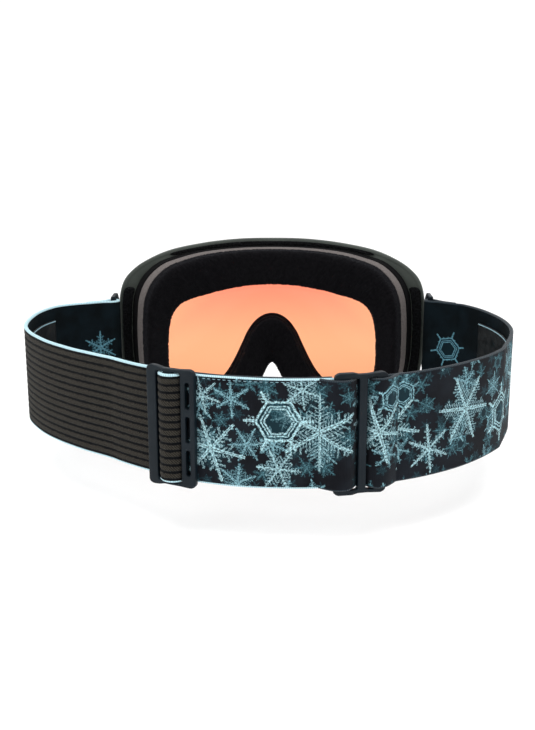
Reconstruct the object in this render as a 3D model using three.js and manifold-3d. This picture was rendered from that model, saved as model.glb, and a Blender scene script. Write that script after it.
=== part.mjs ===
// Ski goggles: a curved frame with a double lens, a three-layer face foam, hinged side arms
// and a strap in two pieces that run through each other in two ladder sliders.
// Millimetres, +Z up, +Y out through the lens, +X towards the wearer's right.
import * as THREE from 'three';
import { mergeVertices } from 'three/addons/utils/BufferGeometryUtils.js';
import Module from 'manifold-3d';

const wasm = await Module();
wasm.setup();

// ---------------------------------------------------------------- driving dimensions
const GAP = 0.3; // air between pieces that touch

// The frame, foams and lenses are shells around one upright axis, the wrap axis.
const WRAP_Y = -117;
const WRAP_HALF_ANGLE = 0.74; // radians either side of straight ahead
const WRAP_STEPS = 24;
const FLANGE_R = 147; // rear face of the frame
const FLANGE_THICK = 2.4;
const LEDGE_R = 170.5;
const LEDGE_THICK = 1.5;
const FRAME_FRONT_R = 178.8;
const WALL = 2.2;
const LEDGE_WIDTH = 6;
const FOOT_Z = -50.5; // flat underside of the frame's two lobes
const FOOT_CUT = 10;
const TOP_VENT_STEP = 13.5;
const TOP_VENTS_EACH_SIDE = 4;
const TOP_VENT = { z: 52, width: 9, length: 13 };
const BOTTOM_VENTS = [-69, -59, -32, 32, 59, 69];
const BOTTOM_VENT = { z: -46, width: 6.5, length: 12 };
const VENT_CUT = 14; // height of each vent's cutter
const OUTLINE_STEPS = 64;
const TOP_SLOPE = 9; // fall of the top from the rear face to the front edge
const SLOPE_LOW_Z = 15; // the slope starts here and is complete at SLOPE_HIGH_Z
const SLOPE_HIGH_Z = 47;

// Foam layers, measured back from the frame towards the face.
const FOAM_BASE_THICK = 6;
const FOAM_MIDDLE_THICK = 7;
const FOAM_FLEECE_THICK = 8.4;
const FOAM_NARROWING = 0.155; // share of the width lost at the face
const FOAM_LOWERING = 0.012; // share of the height lost at the face
const VENT_FOAM_THICK = 1.7;
const SCREEN_THICK = 1.6;

const INNER_LENS_THICK = 1.2;
const GASKET_THICK = 1.4;
const OUTER_LENS_THICK = 2;
const GASKET_WIDTH = 7;

// Side arms that hold the strap ends.
const HINGE_X = 93.6;
const HINGE_Y = 29;
const PIN_R = 1.5;
const PIN_HALF = 13.5;
const LUG_R = 4;
const LUG_WALL_X = 87.6; // inside the frame's side wall
const LUG_LOW = 9;
const LUG_HIGH = 13;
const BARREL_R = 3.5;
const BARREL_HALF = 8.6;
const ARM_THICK = 2.4;
const ARM_HALF = 27.2;
const ARM_WINDOW_HALF = 25.6;
const ARM_NECK_Y = 22.5;
const ARM_SHOULDER_Y = 4;
const ARM_WINDOW_Y = 1.2;
const ARM_REAR_Y = -7.2;
const ARM_CORNER = 1.3;
const ARM_BEND_Y = 15; // control point of the arm's tapered edge
const ARM_BEND_Z = 22;
const BAR_X = 91.5;
const BAR_Y = -5;
const BAR_R = 1.6;

// Strap.
const STRAP_HALF = 25;
const STRAP_THICK = 1.8;
const END_LOOP_R = 3.6;
const END_LOOP_TAIL = 12;
const GRIP_HALF = 17.5;
const GRIP_THICK = 0.8;
const GRIP_START = 3; // steps along each strap path
const GRIP_LEFT_END = 15;
const GRIP_RIGHT_END = 13;

// The back of the strap is an arc around the slider axis, and the sliders ride along it.
const SLIDER_AXIS_X = 10;
const SLIDER_AXIS_Y = -54;
const INNER_LAYER_R = 117;
const OUTER_LAYER_R = 119.2;
const LEFT_ARC_START = -46; // degrees from straight back, positive towards +X
const RIGHT_ARC_START = 57;
const STRAP_END_ANGLE = 0.5; // between the ends that meet inside the left slider
const SLIDER_LEFT_ANGLE = -26.5;
const SLIDER_RIGHT_ANGLE = 13.4;
const SLIDER_PLATE = 3.4;
const SLIDER_HALF_HEIGHT = 27.8;
const NARROW_BAR = 5;
const WIDE_BAR = 6.6;
const CENTRE_BAR = 3.6;
const BAR_GAP = 4.2;
const SLOT_LENGTH = 12;
const SLOT_WIDTH = 2;
const SLOT_STEP = 15.5;
const INSIDE_BAR_THICK = 2.8;
const CLEARANCE = 0.4; // between a slider and the strap

// Outlines in the XZ plane, right half only, from the top middle round to the nose.
// Z is counted from the middle of the strap's width.
const FRAME_HALF = [
  [0, 56], [22, 55.6], [43.6, 53.6], [61.5, 50.4], [73, 46], [80, 41.8], [85.5, 36], [88.3, 28],
  [89, 16], [89, 0], [88.3, -16], [85, -30], [77, -41], [63, -48.5], [46, -51], [33, -49.5],
  [23, -44.5], [15.5, -36.5], [10, -28], [5.6, -20], [2.6, -15.8], [0, -14.4],
];
const FOAM_HALF = [
  [0, 51.6], [25, 51.1], [45, 49.4], [57, 47], [66, 44.4], [72.4, 40.2], [77.4, 34.4], [80.7, 26.5],
  [82, 16], [82.4, 0], [81.5, -16], [78, -29], [70, -39], [58, -45.4], [44, -48], [31.5, -46.8],
  [21.8, -42.2], [14, -35.4], [8.2, -27.8], [4.2, -20.8], [1.8, -17.4], [0, -16.4],
];
const EYE_HALF = [
  [0, 31.5], [22, 30.4], [42, 27.4], [55, 25], [61.5, 22.6], [66, 18], [68.6, 10], [69.6, -4],
  [68.8, -17], [64.5, -27.5], [54, -34.2], [43.5, -35.6], [35, -33], [28.6, -27], [23.6, -19],
  [19, -9.5], [15, -1], [10.6, 5], [5.4, 8.8], [0, 10],
];

// ---------------------------------------------------------------- materials
const material = (color, roughness, metalness = 0, opacity = 1) =>
  new THREE.MeshStandardMaterial({ color, roughness, metalness, opacity, transparent: opacity < 1 });
const olive = material(0x55584f, 0.55);
const slate = material(0x2a3036, 0.42);
const blackFoam = material(0x131316, 0.95);
const greyFoam = material(0x6a6562, 0.95);
const fleece = material(0x0c0b0d, 1);
const outerLensTint = material(0xf2a184, 0.05, 0.1, 0.55);
const innerLensTint = material(0xf6d9c4, 0.05, 0, 0.4);
const steel = material(0x9a9da0, 0.3, 0.9);
const ribbedWebbing = material(0x3a3935, 0.9);
const printedWebbing = material(0x4c6a78, 0.85);
const silicone = material(0x05090b, 0.5);

// ---------------------------------------------------------------- solids
function toSolid(geometry) {
  geometry.deleteAttribute('normal');
  geometry.deleteAttribute('uv');
  const merged = mergeVertices(geometry, 1e-4);
  const vertProperties = new Float32Array(merged.attributes.position.array);
  const triVerts = new Uint32Array(merged.index.array);
  return new wasm.Manifold(new wasm.Mesh({ numProp: 3, vertProperties, triVerts }));
}

function toGeometry(solid) {
  const { vertProperties, triVerts } = solid.getMesh();
  const geometry = new THREE.BufferGeometry();
  geometry.setAttribute('position', new THREE.BufferAttribute(vertProperties, 3));
  geometry.setIndex(new THREE.BufferAttribute(triVerts, 1));
  return geometry;
}

const extrude = (shape, depth, curveSegments = 12) =>
  new THREE.ExtrudeGeometry(shape, { depth, bevelEnabled: false, curveSegments });

// A block with its middle at the given point.
const block = (sx, sy, sz, x, y, z) =>
  toSolid(new THREE.BoxGeometry(sx, sy, sz).translate(x, y, z));

// An upright shape extruded between two heights.
const upright = (shape, low, high, segments) =>
  toSolid(extrude(shape, high - low, segments).translate(0, 0, low));

function uprightRod(x, y, radius, low, high, sides = 20) {
  const rod = new THREE.CylinderGeometry(radius, radius, high - low, sides);
  return toSolid(rod.rotateX(Math.PI / 2).translate(x, y, (low + high) / 2));
}

// ---------------------------------------------------------------- outlines
function closedOutline(half) {
  const inside = half.slice(1, -1).reverse();
  const mirrored = inside.map(([x, z]) => [-x, z]);
  const points = [...half, ...mirrored].map(([x, z]) => new THREE.Vector3(x, z, 0));
  const curve = new THREE.CatmullRomCurve3(points, true, 'centripetal');
  return curve.getSpacedPoints(OUTLINE_STEPS).slice(0, -1).map((p) => new THREE.Vector2(p.x, p.y));
}

// Moves a clockwise outline inwards (positive distance) or outwards.
function inset(outline, distance) {
  const count = outline.length;
  return outline.map((point, i) => {
    const before = outline[(i + count - 1) % count];
    const after = outline[(i + 1) % count];
    const along = after.clone().sub(before).normalize();
    return new THREE.Vector2(point.x + along.y * distance, point.y - along.x * distance);
  });
}

const frameOutline = closedOutline(FRAME_HALF);
const foamOutline = closedOutline(FOAM_HALF);
const eyeOutline = closedOutline(EYE_HALF);

// An outline in XZ extruded along Y, through everything.
function prism(outline) {
  const [near, far] = [-60, 80];
  const geometry = extrude(new THREE.Shape(outline), far - near);
  return toSolid(geometry.rotateX(Math.PI / 2).translate(0, far, 0));
}

// A shell around the wrap axis, between two radii.
function wrapShell(inner, outer) {
  const [from, to] = [Math.PI / 2 - WRAP_HALF_ANGLE, Math.PI / 2 + WRAP_HALF_ANGLE];
  const shape = new THREE.Shape();
  shape.absarc(0, WRAP_Y, outer, from, to, false);
  shape.absarc(0, WRAP_Y, inner, to, from, true);
  return upright(shape, -70, 70, WRAP_STEPS);
}

// The part of a wrapped shell inside one outline and outside another.
function wrapRing(innerR, outerR, outline, hole) {
  const body = wrapShell(innerR, outerR).intersect(prism(outline));
  return hole ? body.subtract(prism(hole)) : body;
}

// ---------------------------------------------------------------- frame
const group = new THREE.Group();

function add(name, solid, finish, reshape) {
  const geometry = toGeometry(solid);
  if (reshape) reshape(geometry);
  const mesh = new THREE.Mesh(geometry, finish);
  mesh.name = name;
  group.add(mesh);
}

// The top of the frame and all that it holds slopes down towards the front.
function slope(geometry) {
  const position = geometry.attributes.position;
  for (let i = 0; i < position.count; i += 1) {
    const [x, y, z] = [position.getX(i), position.getY(i), position.getZ(i)];
    const radius = Math.hypot(x, y - WRAP_Y);
    const forward = THREE.MathUtils.clamp((radius - FLANGE_R) / (FRAME_FRONT_R - FLANGE_R), 0, 1);
    const high = THREE.MathUtils.smoothstep(z, SLOPE_LOW_Z, SLOPE_HIGH_Z);
    position.setZ(i, z - TOP_SLOPE * forward * high);
  }
}

const ventCutter = (x, { z, width, length }) => {
  const middleR = (FLANGE_R + LEDGE_R + LEDGE_THICK) / 2;
  return block(width, length, VENT_CUT, x, WRAP_Y + Math.sqrt(middleR ** 2 - x ** 2), z);
};

function hingeLug(side, low, high) {
  const shape = new THREE.Shape();
  const wallX = side * LUG_WALL_X;
  shape.moveTo(wallX, HINGE_Y - LUG_R);
  shape.lineTo(side * HINGE_X, HINGE_Y - LUG_R);
  shape.absarc(side * HINGE_X, HINGE_Y, LUG_R, -Math.PI / 2, Math.PI / 2, side < 0);
  shape.lineTo(wallX, HINGE_Y + LUG_R);
  return upright(shape, low, high, 8);
}

function frameShell() {
  const eyeEdge = inset(eyeOutline, -1);
  const wallInside = inset(frameOutline, WALL);
  let solid = wrapRing(FLANGE_R, FLANGE_R + FLANGE_THICK, frameOutline, eyeEdge)
    .add(wrapRing(FLANGE_R, FRAME_FRONT_R, frameOutline, wallInside))
    .add(wrapRing(LEDGE_R, LEDGE_R + LEDGE_THICK, frameOutline, inset(frameOutline, LEDGE_WIDTH)));
  for (let step = -TOP_VENTS_EACH_SIDE; step <= TOP_VENTS_EACH_SIDE; step += 1) {
    solid = solid.subtract(ventCutter(step * TOP_VENT_STEP, TOP_VENT));
  }
  for (const x of BOTTOM_VENTS) {
    solid = solid.subtract(ventCutter(x, BOTTOM_VENT));
  }
  solid = solid.subtract(block(300, 300, FOOT_CUT, 0, 0, FOOT_Z - FOOT_CUT / 2));
  for (const side of [-1, 1]) {
    for (const [low, high] of [[LUG_LOW, LUG_HIGH], [-LUG_HIGH, -LUG_LOW]]) {
      solid = solid.add(hingeLug(side, low, high));
    }
    solid = solid.subtract(uprightRod(side * HINGE_X, HINGE_Y, PIN_R + GAP, -20, 20));
  }
  return solid;
}
add('frame_shell', frameShell(), olive, slope);

// ---------------------------------------------------------------- lenses
const lensOutline = inset(frameOutline, WALL + 0.4);
const innerLensR = LEDGE_R + LEDGE_THICK + GAP;
const gasketR = innerLensR + INNER_LENS_THICK + GAP;
const outerLensR = gasketR + GASKET_THICK + GAP;
const innerLens = wrapRing(innerLensR, innerLensR + INNER_LENS_THICK, lensOutline);
add('inner_lens', innerLens, innerLensTint, slope);
const gasketHole = inset(lensOutline, GASKET_WIDTH);
const gasket = wrapRing(gasketR, gasketR + GASKET_THICK, lensOutline, gasketHole);
add('lens_gasket', gasket, blackFoam, slope);
const outerLens = wrapRing(outerLensR, outerLensR + OUTER_LENS_THICK, lensOutline);
add('outer_lens', outerLens, outerLensTint, slope);

// ---------------------------------------------------------------- foams
const foamRearR = FLANGE_R - GAP;
const foamDepth = FOAM_BASE_THICK + FOAM_MIDDLE_THICK + FOAM_FLEECE_THICK + 2 * GAP;

// The foam narrows from the frame towards the face.
function narrow(geometry) {
  const position = geometry.attributes.position;
  for (let i = 0; i < position.count; i += 1) {
    const [x, y, z] = [position.getX(i), position.getY(i), position.getZ(i)];
    const share = (foamRearR - Math.hypot(x, y - WRAP_Y)) / foamDepth;
    position.setXYZ(i, x * (1 - FOAM_NARROWING * share), y, z * (1 - FOAM_LOWERING * share));
  }
}

let layerR = foamRearR;
for (const [name, thick, finish] of [
  ['face_foam_base', FOAM_BASE_THICK, blackFoam],
  ['face_foam_middle', FOAM_MIDDLE_THICK, greyFoam],
  ['face_foam_fleece', FOAM_FLEECE_THICK, fleece],
]) {
  add(name, wrapRing(layerR - thick, layerR, foamOutline, eyeOutline), finish, narrow);
  layerR -= thick + GAP;
}

// Thin foam strips on the frame's rear face, between its rim and the face foam.
const ventBand = wrapRing(
  foamRearR - VENT_FOAM_THICK, foamRearR, inset(frameOutline, 1.9), inset(foamOutline, -0.4));
for (const [name, width, height, x, z] of [
  ['vent_foam_top', 124, 30, 0, 60],
  ['vent_foam_left', 30, 58, -88, 3],
  ['vent_foam_right', 30, 58, 88, 3],
  ['vent_foam_bottom_left', 44, 16, -50, -53],
  ['vent_foam_bottom_right', 44, 16, 50, -53],
]) {
  add(name, ventBand.intersect(block(width, 120, height, x, 10, z)), blackFoam);
}

// Foam screens behind the openings in the frame's top and bottom walls.
const screenBand = wrapRing(
  FLANGE_R + FLANGE_THICK + GAP, LEDGE_R - GAP,
  inset(frameOutline, WALL + GAP), inset(frameOutline, WALL + GAP + SCREEN_THICK));
for (const [name, width, height, x, z] of [
  ['vent_screen_top', 128, 30, 0, 60],
  ['vent_screen_bottom_left', 42, 14, -49, -50],
  ['vent_screen_bottom_right', 42, 14, 49, -50],
]) {
  add(name, screenBand.intersect(block(width, 140, height, x, 10, z)), blackFoam, slope);
}

// ---------------------------------------------------------------- side arms
function sideArm(side) {
  const profile = new THREE.Shape();
  profile.moveTo(HINGE_Y, -BARREL_HALF);
  profile.lineTo(HINGE_Y, BARREL_HALF);
  profile.lineTo(ARM_NECK_Y, BARREL_HALF);
  profile.quadraticCurveTo(ARM_BEND_Y, ARM_BEND_Z, ARM_SHOULDER_Y, ARM_HALF);
  profile.lineTo(BAR_Y, ARM_HALF);
  profile.quadraticCurveTo(ARM_REAR_Y, ARM_HALF, ARM_REAR_Y, ARM_HALF - ARM_CORNER);
  profile.lineTo(ARM_REAR_Y, ARM_WINDOW_HALF);
  profile.lineTo(ARM_WINDOW_Y, ARM_WINDOW_HALF);
  profile.lineTo(ARM_WINDOW_Y, -ARM_WINDOW_HALF);
  profile.lineTo(ARM_REAR_Y, -ARM_WINDOW_HALF);
  profile.lineTo(ARM_REAR_Y, -ARM_HALF + ARM_CORNER);
  profile.quadraticCurveTo(ARM_REAR_Y, -ARM_HALF, BAR_Y, -ARM_HALF);
  profile.lineTo(ARM_SHOULDER_Y, -ARM_HALF);
  profile.quadraticCurveTo(ARM_BEND_Y, -ARM_BEND_Z, ARM_NECK_Y, -BARREL_HALF);
  // The shape's plane (Y, Z) is turned so that its depth runs along X.
  const toSide = new THREE.Matrix4().makeBasis(
    new THREE.Vector3(0, 1, 0), new THREE.Vector3(0, 0, 1), new THREE.Vector3(1, 0, 0));
  const plate = extrude(profile, ARM_THICK, 6).applyMatrix4(toSide);
  plate.translate(side * BAR_X - ARM_THICK / 2, 0, 0);
  return toSolid(plate)
    .add(uprightRod(side * BAR_X, BAR_Y, BAR_R, -ARM_WINDOW_HALF - 1, ARM_WINDOW_HALF + 1, 16))
    .add(uprightRod(side * HINGE_X, HINGE_Y, BARREL_R, -BARREL_HALF, BARREL_HALF, 24))
    .subtract(uprightRod(side * HINGE_X, HINGE_Y, PIN_R + GAP, -20, 20));
}

// The doubled end of the strap, sewn round the arm's bar.
function strapEnd(side, towards) {
  const direction = Math.atan2(towards[1] - BAR_Y, towards[0] - side * BAR_X);
  const [half, open] = [STRAP_THICK + 0.1, 1.75];
  const shape = new THREE.Shape();
  shape.moveTo(END_LOOP_TAIL, half);
  shape.absarc(0, 0, END_LOOP_R, open, -open, false);
  shape.lineTo(END_LOOP_TAIL, -half);
  const hole = new THREE.Path();
  hole.absarc(0, 0, BAR_R + GAP, 0, Math.PI * 2, true);
  shape.holes.push(hole);
  const loop = extrude(shape, 2 * STRAP_HALF, 10).translate(0, 0, -STRAP_HALF);
  return toSolid(loop.rotateZ(direction).translate(side * BAR_X, BAR_Y, 0));
}

// ---------------------------------------------------------------- strap
function backArc(radius, fromAngle, toAngle, steps) {
  const points = [];
  for (let i = 0; i <= steps; i += 1) {
    const angle = THREE.MathUtils.degToRad(fromAngle + ((toAngle - fromAngle) * i) / steps);
    const x = SLIDER_AXIS_X + radius * Math.sin(angle);
    points.push(new THREE.Vector2(x, SLIDER_AXIS_Y - radius * Math.cos(angle)));
  }
  return points;
}

// The free run of the strap from a side arm to the start of the back arc, seen from above.
function sideRun(points, steps) {
  const curve = new THREE.CatmullRomCurve3(
    points.map(([x, y]) => new THREE.Vector3(x, y, 0)), false, 'centripetal');
  return curve.getSpacedPoints(steps).map((p) => new THREE.Vector2(p.x, p.y));
}

function band(path, thickness, halfWidth, shift = 0) {
  const offset = (distance) => path.map((point, i) => {
    const before = path[Math.max(i - 1, 0)];
    const after = path[Math.min(i + 1, path.length - 1)];
    const along = after.clone().sub(before).normalize();
    return new THREE.Vector2(point.x - along.y * distance, point.y + along.x * distance);
  });
  const left = offset(shift + thickness / 2);
  const right = offset(shift - thickness / 2).reverse();
  return upright(new THREE.Shape([...left, ...right]), -halfWidth, halfWidth);
}

const arcPoint = (radius, angle) => backArc(radius, angle, angle, 1)[0].toArray();
const leftRun = [
  [-110.4, -13.6], [-120.8, -21], [-127.4, -35], [-129.4, -54], [-126.5, -75], [-113.5, -99],
  [-96, -118], arcPoint(INNER_LAYER_R, LEFT_ARC_START)];
const rightRun = [
  [107.5, -17], [115.6, -30], [121.4, -48], [123.3, -69], [120.5, -88],
  arcPoint(OUTER_LAYER_R, RIGHT_ARC_START)];

const sliderWidth = NARROW_BAR + WIDE_BAR + CENTRE_BAR + 2 * BAR_GAP;
const perDegree = (Math.PI / 180) * (OUTER_LAYER_R + STRAP_THICK / 2);
const halfSliderAngle = sliderWidth / 2 / perDegree;
// The ribbed piece is sewn to the left slider. The printed piece runs through the right slider to
// the left one, and comes back inside itself to its sewn end on the right slider.
const leftPath = [
  ...sideRun(leftRun, 26),
  ...backArc(INNER_LAYER_R, LEFT_ARC_START, SLIDER_LEFT_ANGLE - STRAP_END_ANGLE, 8).slice(1)];
const rightPath = [
  ...sideRun(rightRun, 18),
  ...backArc(OUTER_LAYER_R, RIGHT_ARC_START, SLIDER_LEFT_ANGLE, 30).slice(1)];
const returnPath = backArc(
  INNER_LAYER_R, SLIDER_LEFT_ANGLE + STRAP_END_ANGLE, SLIDER_RIGHT_ANGLE - halfSliderAngle, 14);
add('strap_left', band(leftPath, STRAP_THICK, STRAP_HALF), ribbedWebbing);
add('strap_right', band(rightPath, STRAP_THICK, STRAP_HALF), printedWebbing);
add('strap_return', band(returnPath, STRAP_THICK, STRAP_HALF), printedWebbing);

// Grip strips on the inside of the strap, round each bend.
const gripShift = STRAP_THICK / 2 + GAP + GRIP_THICK / 2;
const leftGrip = leftPath.slice(GRIP_START, GRIP_LEFT_END);
const rightGrip = rightPath.slice(GRIP_START, GRIP_RIGHT_END);
add('grip_strip_left', band(leftGrip, GRIP_THICK, GRIP_HALF, gripShift), silicone);
add('grip_strip_right', band(rightGrip, GRIP_THICK, GRIP_HALF, -gripShift), silicone);

for (const [name, side, run] of [['left', -1, leftRun], ['right', 1, rightRun]]) {
  add(`side_arm_${name}`, sideArm(side), slate);
  add(`hinge_pin_${name}`, uprightRod(side * HINGE_X, HINGE_Y, PIN_R, -PIN_HALF, PIN_HALF), steel);
  const finish = side < 0 ? ribbedWebbing : printedWebbing;
  add(`strap_end_${name}`, strapEnd(side, run[0]), finish);
}

// ---------------------------------------------------------------- sliders
// A curved block of a slider, between two positions along the strap in millimetres from the
// middle of the slider, two radii and two heights.
function sliderBlock(middleAngle, from, to, innerR, outerR, low, high) {
  const steps = Math.max(1, Math.ceil((to - from) / 6));
  const fromAngle = middleAngle + from / perDegree;
  const toAngle = middleAngle + to / perDegree;
  const outer = backArc(outerR, fromAngle, toAngle, steps);
  const inner = backArc(innerR, fromAngle, toAngle, steps).reverse();
  return upright(new THREE.Shape([...outer, ...inner]), low, high);
}

const plateInnerR = OUTER_LAYER_R + STRAP_THICK / 2 + CLEARANCE;
const plateOuterR = plateInnerR + SLIDER_PLATE;
const barOuterR = INNER_LAYER_R - STRAP_THICK / 2 - CLEARANCE;
const barInnerR = barOuterR - INSIDE_BAR_THICK;
const railLow = STRAP_HALF + CLEARANCE;

// wideSide is +1 when the wide bar lies towards +X, and outside says which bars lie outside
// the strap: the two outer bars, or the centre bar.
function slider(middleAngle, wideSide, centreOutside) {
  const edge = sliderWidth / 2;
  const edges = [
    [-edge, -edge + NARROW_BAR],
    [-edge + NARROW_BAR + BAR_GAP, -edge + NARROW_BAR + BAR_GAP + CENTRE_BAR],
    [edge - WIDE_BAR, edge]];
  const [narrow, centre, wide] = edges.map(([from, to]) =>
    (wideSide > 0 ? [from, to] : [-to, -from]));
  const outside = [plateInnerR, plateOuterR];
  const inside = [barInnerR, barOuterR];
  const [endRadii, centreRadii] = centreOutside ? [inside, outside] : [outside, inside];
  const full = [-SLIDER_HALF_HEIGHT, SLIDER_HALF_HEIGHT];
  let solid = sliderBlock(middleAngle, ...narrow, ...endRadii, ...full)
    .add(sliderBlock(middleAngle, ...wide, ...endRadii, ...full))
    .add(sliderBlock(middleAngle, ...centre, ...centreRadii, ...full));
  for (const [low, high] of [[railLow, SLIDER_HALF_HEIGHT], [-SLIDER_HALF_HEIGHT, -railLow]]) {
    solid = solid.add(sliderBlock(middleAngle, -edge, edge, ...endRadii, low, high))
      .add(sliderBlock(middleAngle, ...centre, barInnerR, plateOuterR, low, high));
  }
  const slotMiddle = (wide[0] + wide[1]) / 2;
  const slot = [slotMiddle - SLOT_WIDTH / 2, slotMiddle + SLOT_WIDTH / 2];
  for (const z of [-SLOT_STEP, 0, SLOT_STEP]) {
    const heights = [z - SLOT_LENGTH / 2, z + SLOT_LENGTH / 2];
    solid = solid.subtract(
      sliderBlock(middleAngle, ...slot, barInnerR - 1, plateOuterR + 1, ...heights));
  }
  return solid;
}
add('slider_left', slider(SLIDER_LEFT_ANGLE, 1, false), slate);
add('slider_right', slider(SLIDER_RIGHT_ANGLE, -1, true), slate);

// ---------------------------------------------------------------- origin
// The origin is the middle of the underside of the whole object's box.
const box = new THREE.Box3().setFromObject(group);
group.position.set(-(box.min.x + box.max.x) / 2, -(box.min.y + box.max.y) / 2, -box.min.z);

export default group;
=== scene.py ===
"""Ski goggles: the looks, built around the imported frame."""
import math
from contextlib import contextmanager

import bmesh
import bpy
import numpy as np
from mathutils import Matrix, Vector


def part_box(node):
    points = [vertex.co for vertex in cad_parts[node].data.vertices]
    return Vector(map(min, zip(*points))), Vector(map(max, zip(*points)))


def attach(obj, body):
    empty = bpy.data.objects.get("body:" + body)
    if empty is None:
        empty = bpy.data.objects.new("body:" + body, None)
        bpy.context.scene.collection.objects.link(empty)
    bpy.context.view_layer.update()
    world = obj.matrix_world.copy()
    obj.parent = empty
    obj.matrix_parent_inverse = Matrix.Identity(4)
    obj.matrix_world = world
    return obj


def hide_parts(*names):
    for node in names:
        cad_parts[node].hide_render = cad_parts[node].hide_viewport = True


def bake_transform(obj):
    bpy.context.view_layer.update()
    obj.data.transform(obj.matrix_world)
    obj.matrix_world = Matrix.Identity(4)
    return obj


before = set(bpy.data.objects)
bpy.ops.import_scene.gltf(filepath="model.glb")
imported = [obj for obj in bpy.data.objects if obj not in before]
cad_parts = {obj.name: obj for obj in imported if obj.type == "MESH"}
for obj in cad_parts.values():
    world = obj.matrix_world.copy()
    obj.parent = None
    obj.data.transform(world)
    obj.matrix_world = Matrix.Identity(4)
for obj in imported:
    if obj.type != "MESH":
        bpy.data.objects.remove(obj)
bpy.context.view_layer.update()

# ------------------------------------------------------------------ sizes, in millimetres
MM = 0.001
WRAP_Y = -117.0  # the upright axis that the frame, foams and lenses curve around
FLANGE_R = 147.0
FLANGE_THICK = 2.4
LEDGE_R = 170.5
LEDGE_THICK = 1.5
LEDGE_WIDTH = 6.0
FRAME_FRONT_R = 178.8
WALL = 2.2
FOOT_Z = -50.5
TOP_SLOPE = 9.0  # fall of the top from the rear face to the front edge
SLOPE_LOW_Z, SLOPE_HIGH_Z = 15.0, 47.0
GAP = 0.3
VENT_PITCH, VENT_WIDTH, VENT_LENGTH, VENT_Z = 13.5, 9.0, 13.0, 52.0
VENTS_EACH_SIDE = 4
LOW_VENT_X = (-69, -59, -32, 32, 59, 69)
LOW_VENT_WIDTH, LOW_VENT_LENGTH, LOW_VENT_Z = 6.5, 12.0, -46.0
VENT_CUT = 14.0  # height of the blocks that cut the vents
LUG_WALL_X, LUG_R = 87.8, 4.0
LUG_LOW, LUG_HIGH = 9.0, 13.0
PIN_HOLE_R = 1.75
ACROSS = 16.0  # nominal width of the rear flange in its section

FOAM_REAR_R = FLANGE_R - GAP
FOAM_LAYERS = (("face_foam_base", 6.0), ("face_foam_middle", 7.0), ("face_foam_fleece", 8.4))
FOAM_DEPTH = sum(thick for _, thick in FOAM_LAYERS) + 2 * GAP
FOAM_NARROWING = 0.155
FOAM_LOWERING = 0.012
FOAM_ACROSS = 12.0
STRIP_ROUGH = 0.08  # how far the cut foam strips' surfaces stray

STRAP_HALF = 25.0
STRAP_THICK = 1.8
BAR_X, BAR_Y, BAR_R = 91.5, -5.0, 1.6
HINGE_X, HINGE_Y = 93.6, 29.0
AXIS_X, AXIS_Y = 10.0, -54.0  # the sliders' axis
INNER_LAYER_R = 117.0
OUTER_LAYER_R = 119.2
SLIDER_LEFT_ANGLE = -26.5
SLIDER_RIGHT_ANGLE = 13.4
NARROW_BAR, WIDE_BAR, CENTRE_BAR, BAR_GAP = 5.0, 6.6, 3.6, 4.2
SLIDER_WIDTH = NARROW_BAR + WIDE_BAR + CENTRE_BAR + 2 * BAR_GAP
LEFT_ARC_START = -46.0
RIGHT_ARC_START = 57.0

# Right halves of the outlines in XZ, from the top middle round to the nose.
FRAME_HALF = (
    (0, 56), (22, 55.6), (43.6, 53.6), (61.5, 50.4), (73, 46), (80, 41.8), (85.5, 36), (88.3, 28),
    (89, 16), (89, 0), (88.3, -16), (85, -30), (77, -41), (63, -48.5), (46, -51), (33, -49.5),
    (23, -44.5), (15.5, -36.5), (10, -28), (5.6, -20), (2.6, -15.8), (0, -14.4))
FOAM_HALF = (
    (0, 51.6), (25, 51.1), (45, 49.4), (57, 47), (66, 44.4), (72.4, 40.2), (77.4, 34.4), (80.7, 26.5),
    (82, 16), (82.4, 0), (81.5, -16), (78, -29), (70, -39), (58, -45.4), (44, -48), (31.5, -46.8),
    (21.8, -42.2), (14, -35.4), (8.2, -27.8), (4.2, -20.8), (1.8, -17.4), (0, -16.4))
EYE_HALF = (
    (0, 31.5), (14, 31.1), (26, 29.9), (36, 28.5), (46, 26.7), (55, 25), (61.5, 22.6), (66, 18),
    (68.6, 10), (69.6, -4), (68.8, -17), (64.5, -27.5), (54, -34.2), (43.5, -35.6), (35, -33),
    (28.6, -27), (23.6, -19), (19, -9.5), (15, -1), (10.6, 5), (5.4, 8.8), (0, 10))

shell_low, shell_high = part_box("frame_shell")
ORIGIN = np.array([
    (shell_low.x + shell_high.x) / 2,
    shell_high.y - (WRAP_Y + FRAME_FRONT_R) * MM,
    shell_low.z - FOOT_Z * MM])


def row(points):
    """Millimetres from the frame's own centre to metres in the row frame."""
    return np.asarray(points, float) * MM + ORIGIN


# ------------------------------------------------------------------ camera
VIEW_DISTANCE = 617.0
VIEW_HEIGHT = 150.0
VIEW_PITCH = 15.0
VIEW_LENS = 53.26
VIEW_SHIFT = -0.0062


def make_camera():
    data = bpy.data.cameras.new("camera")
    data.lens = VIEW_LENS
    data.sensor_width = 36
    data.shift_x = VIEW_SHIFT
    camera = bpy.data.objects.new("camera", data)
    camera.location = row((0, -VIEW_DISTANCE, VIEW_HEIGHT))
    camera.rotation_euler = (math.radians(90 - VIEW_PITCH), 0, 0)
    bpy.context.scene.collection.objects.link(camera)
    bpy.context.scene.camera = camera


make_camera()


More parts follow.
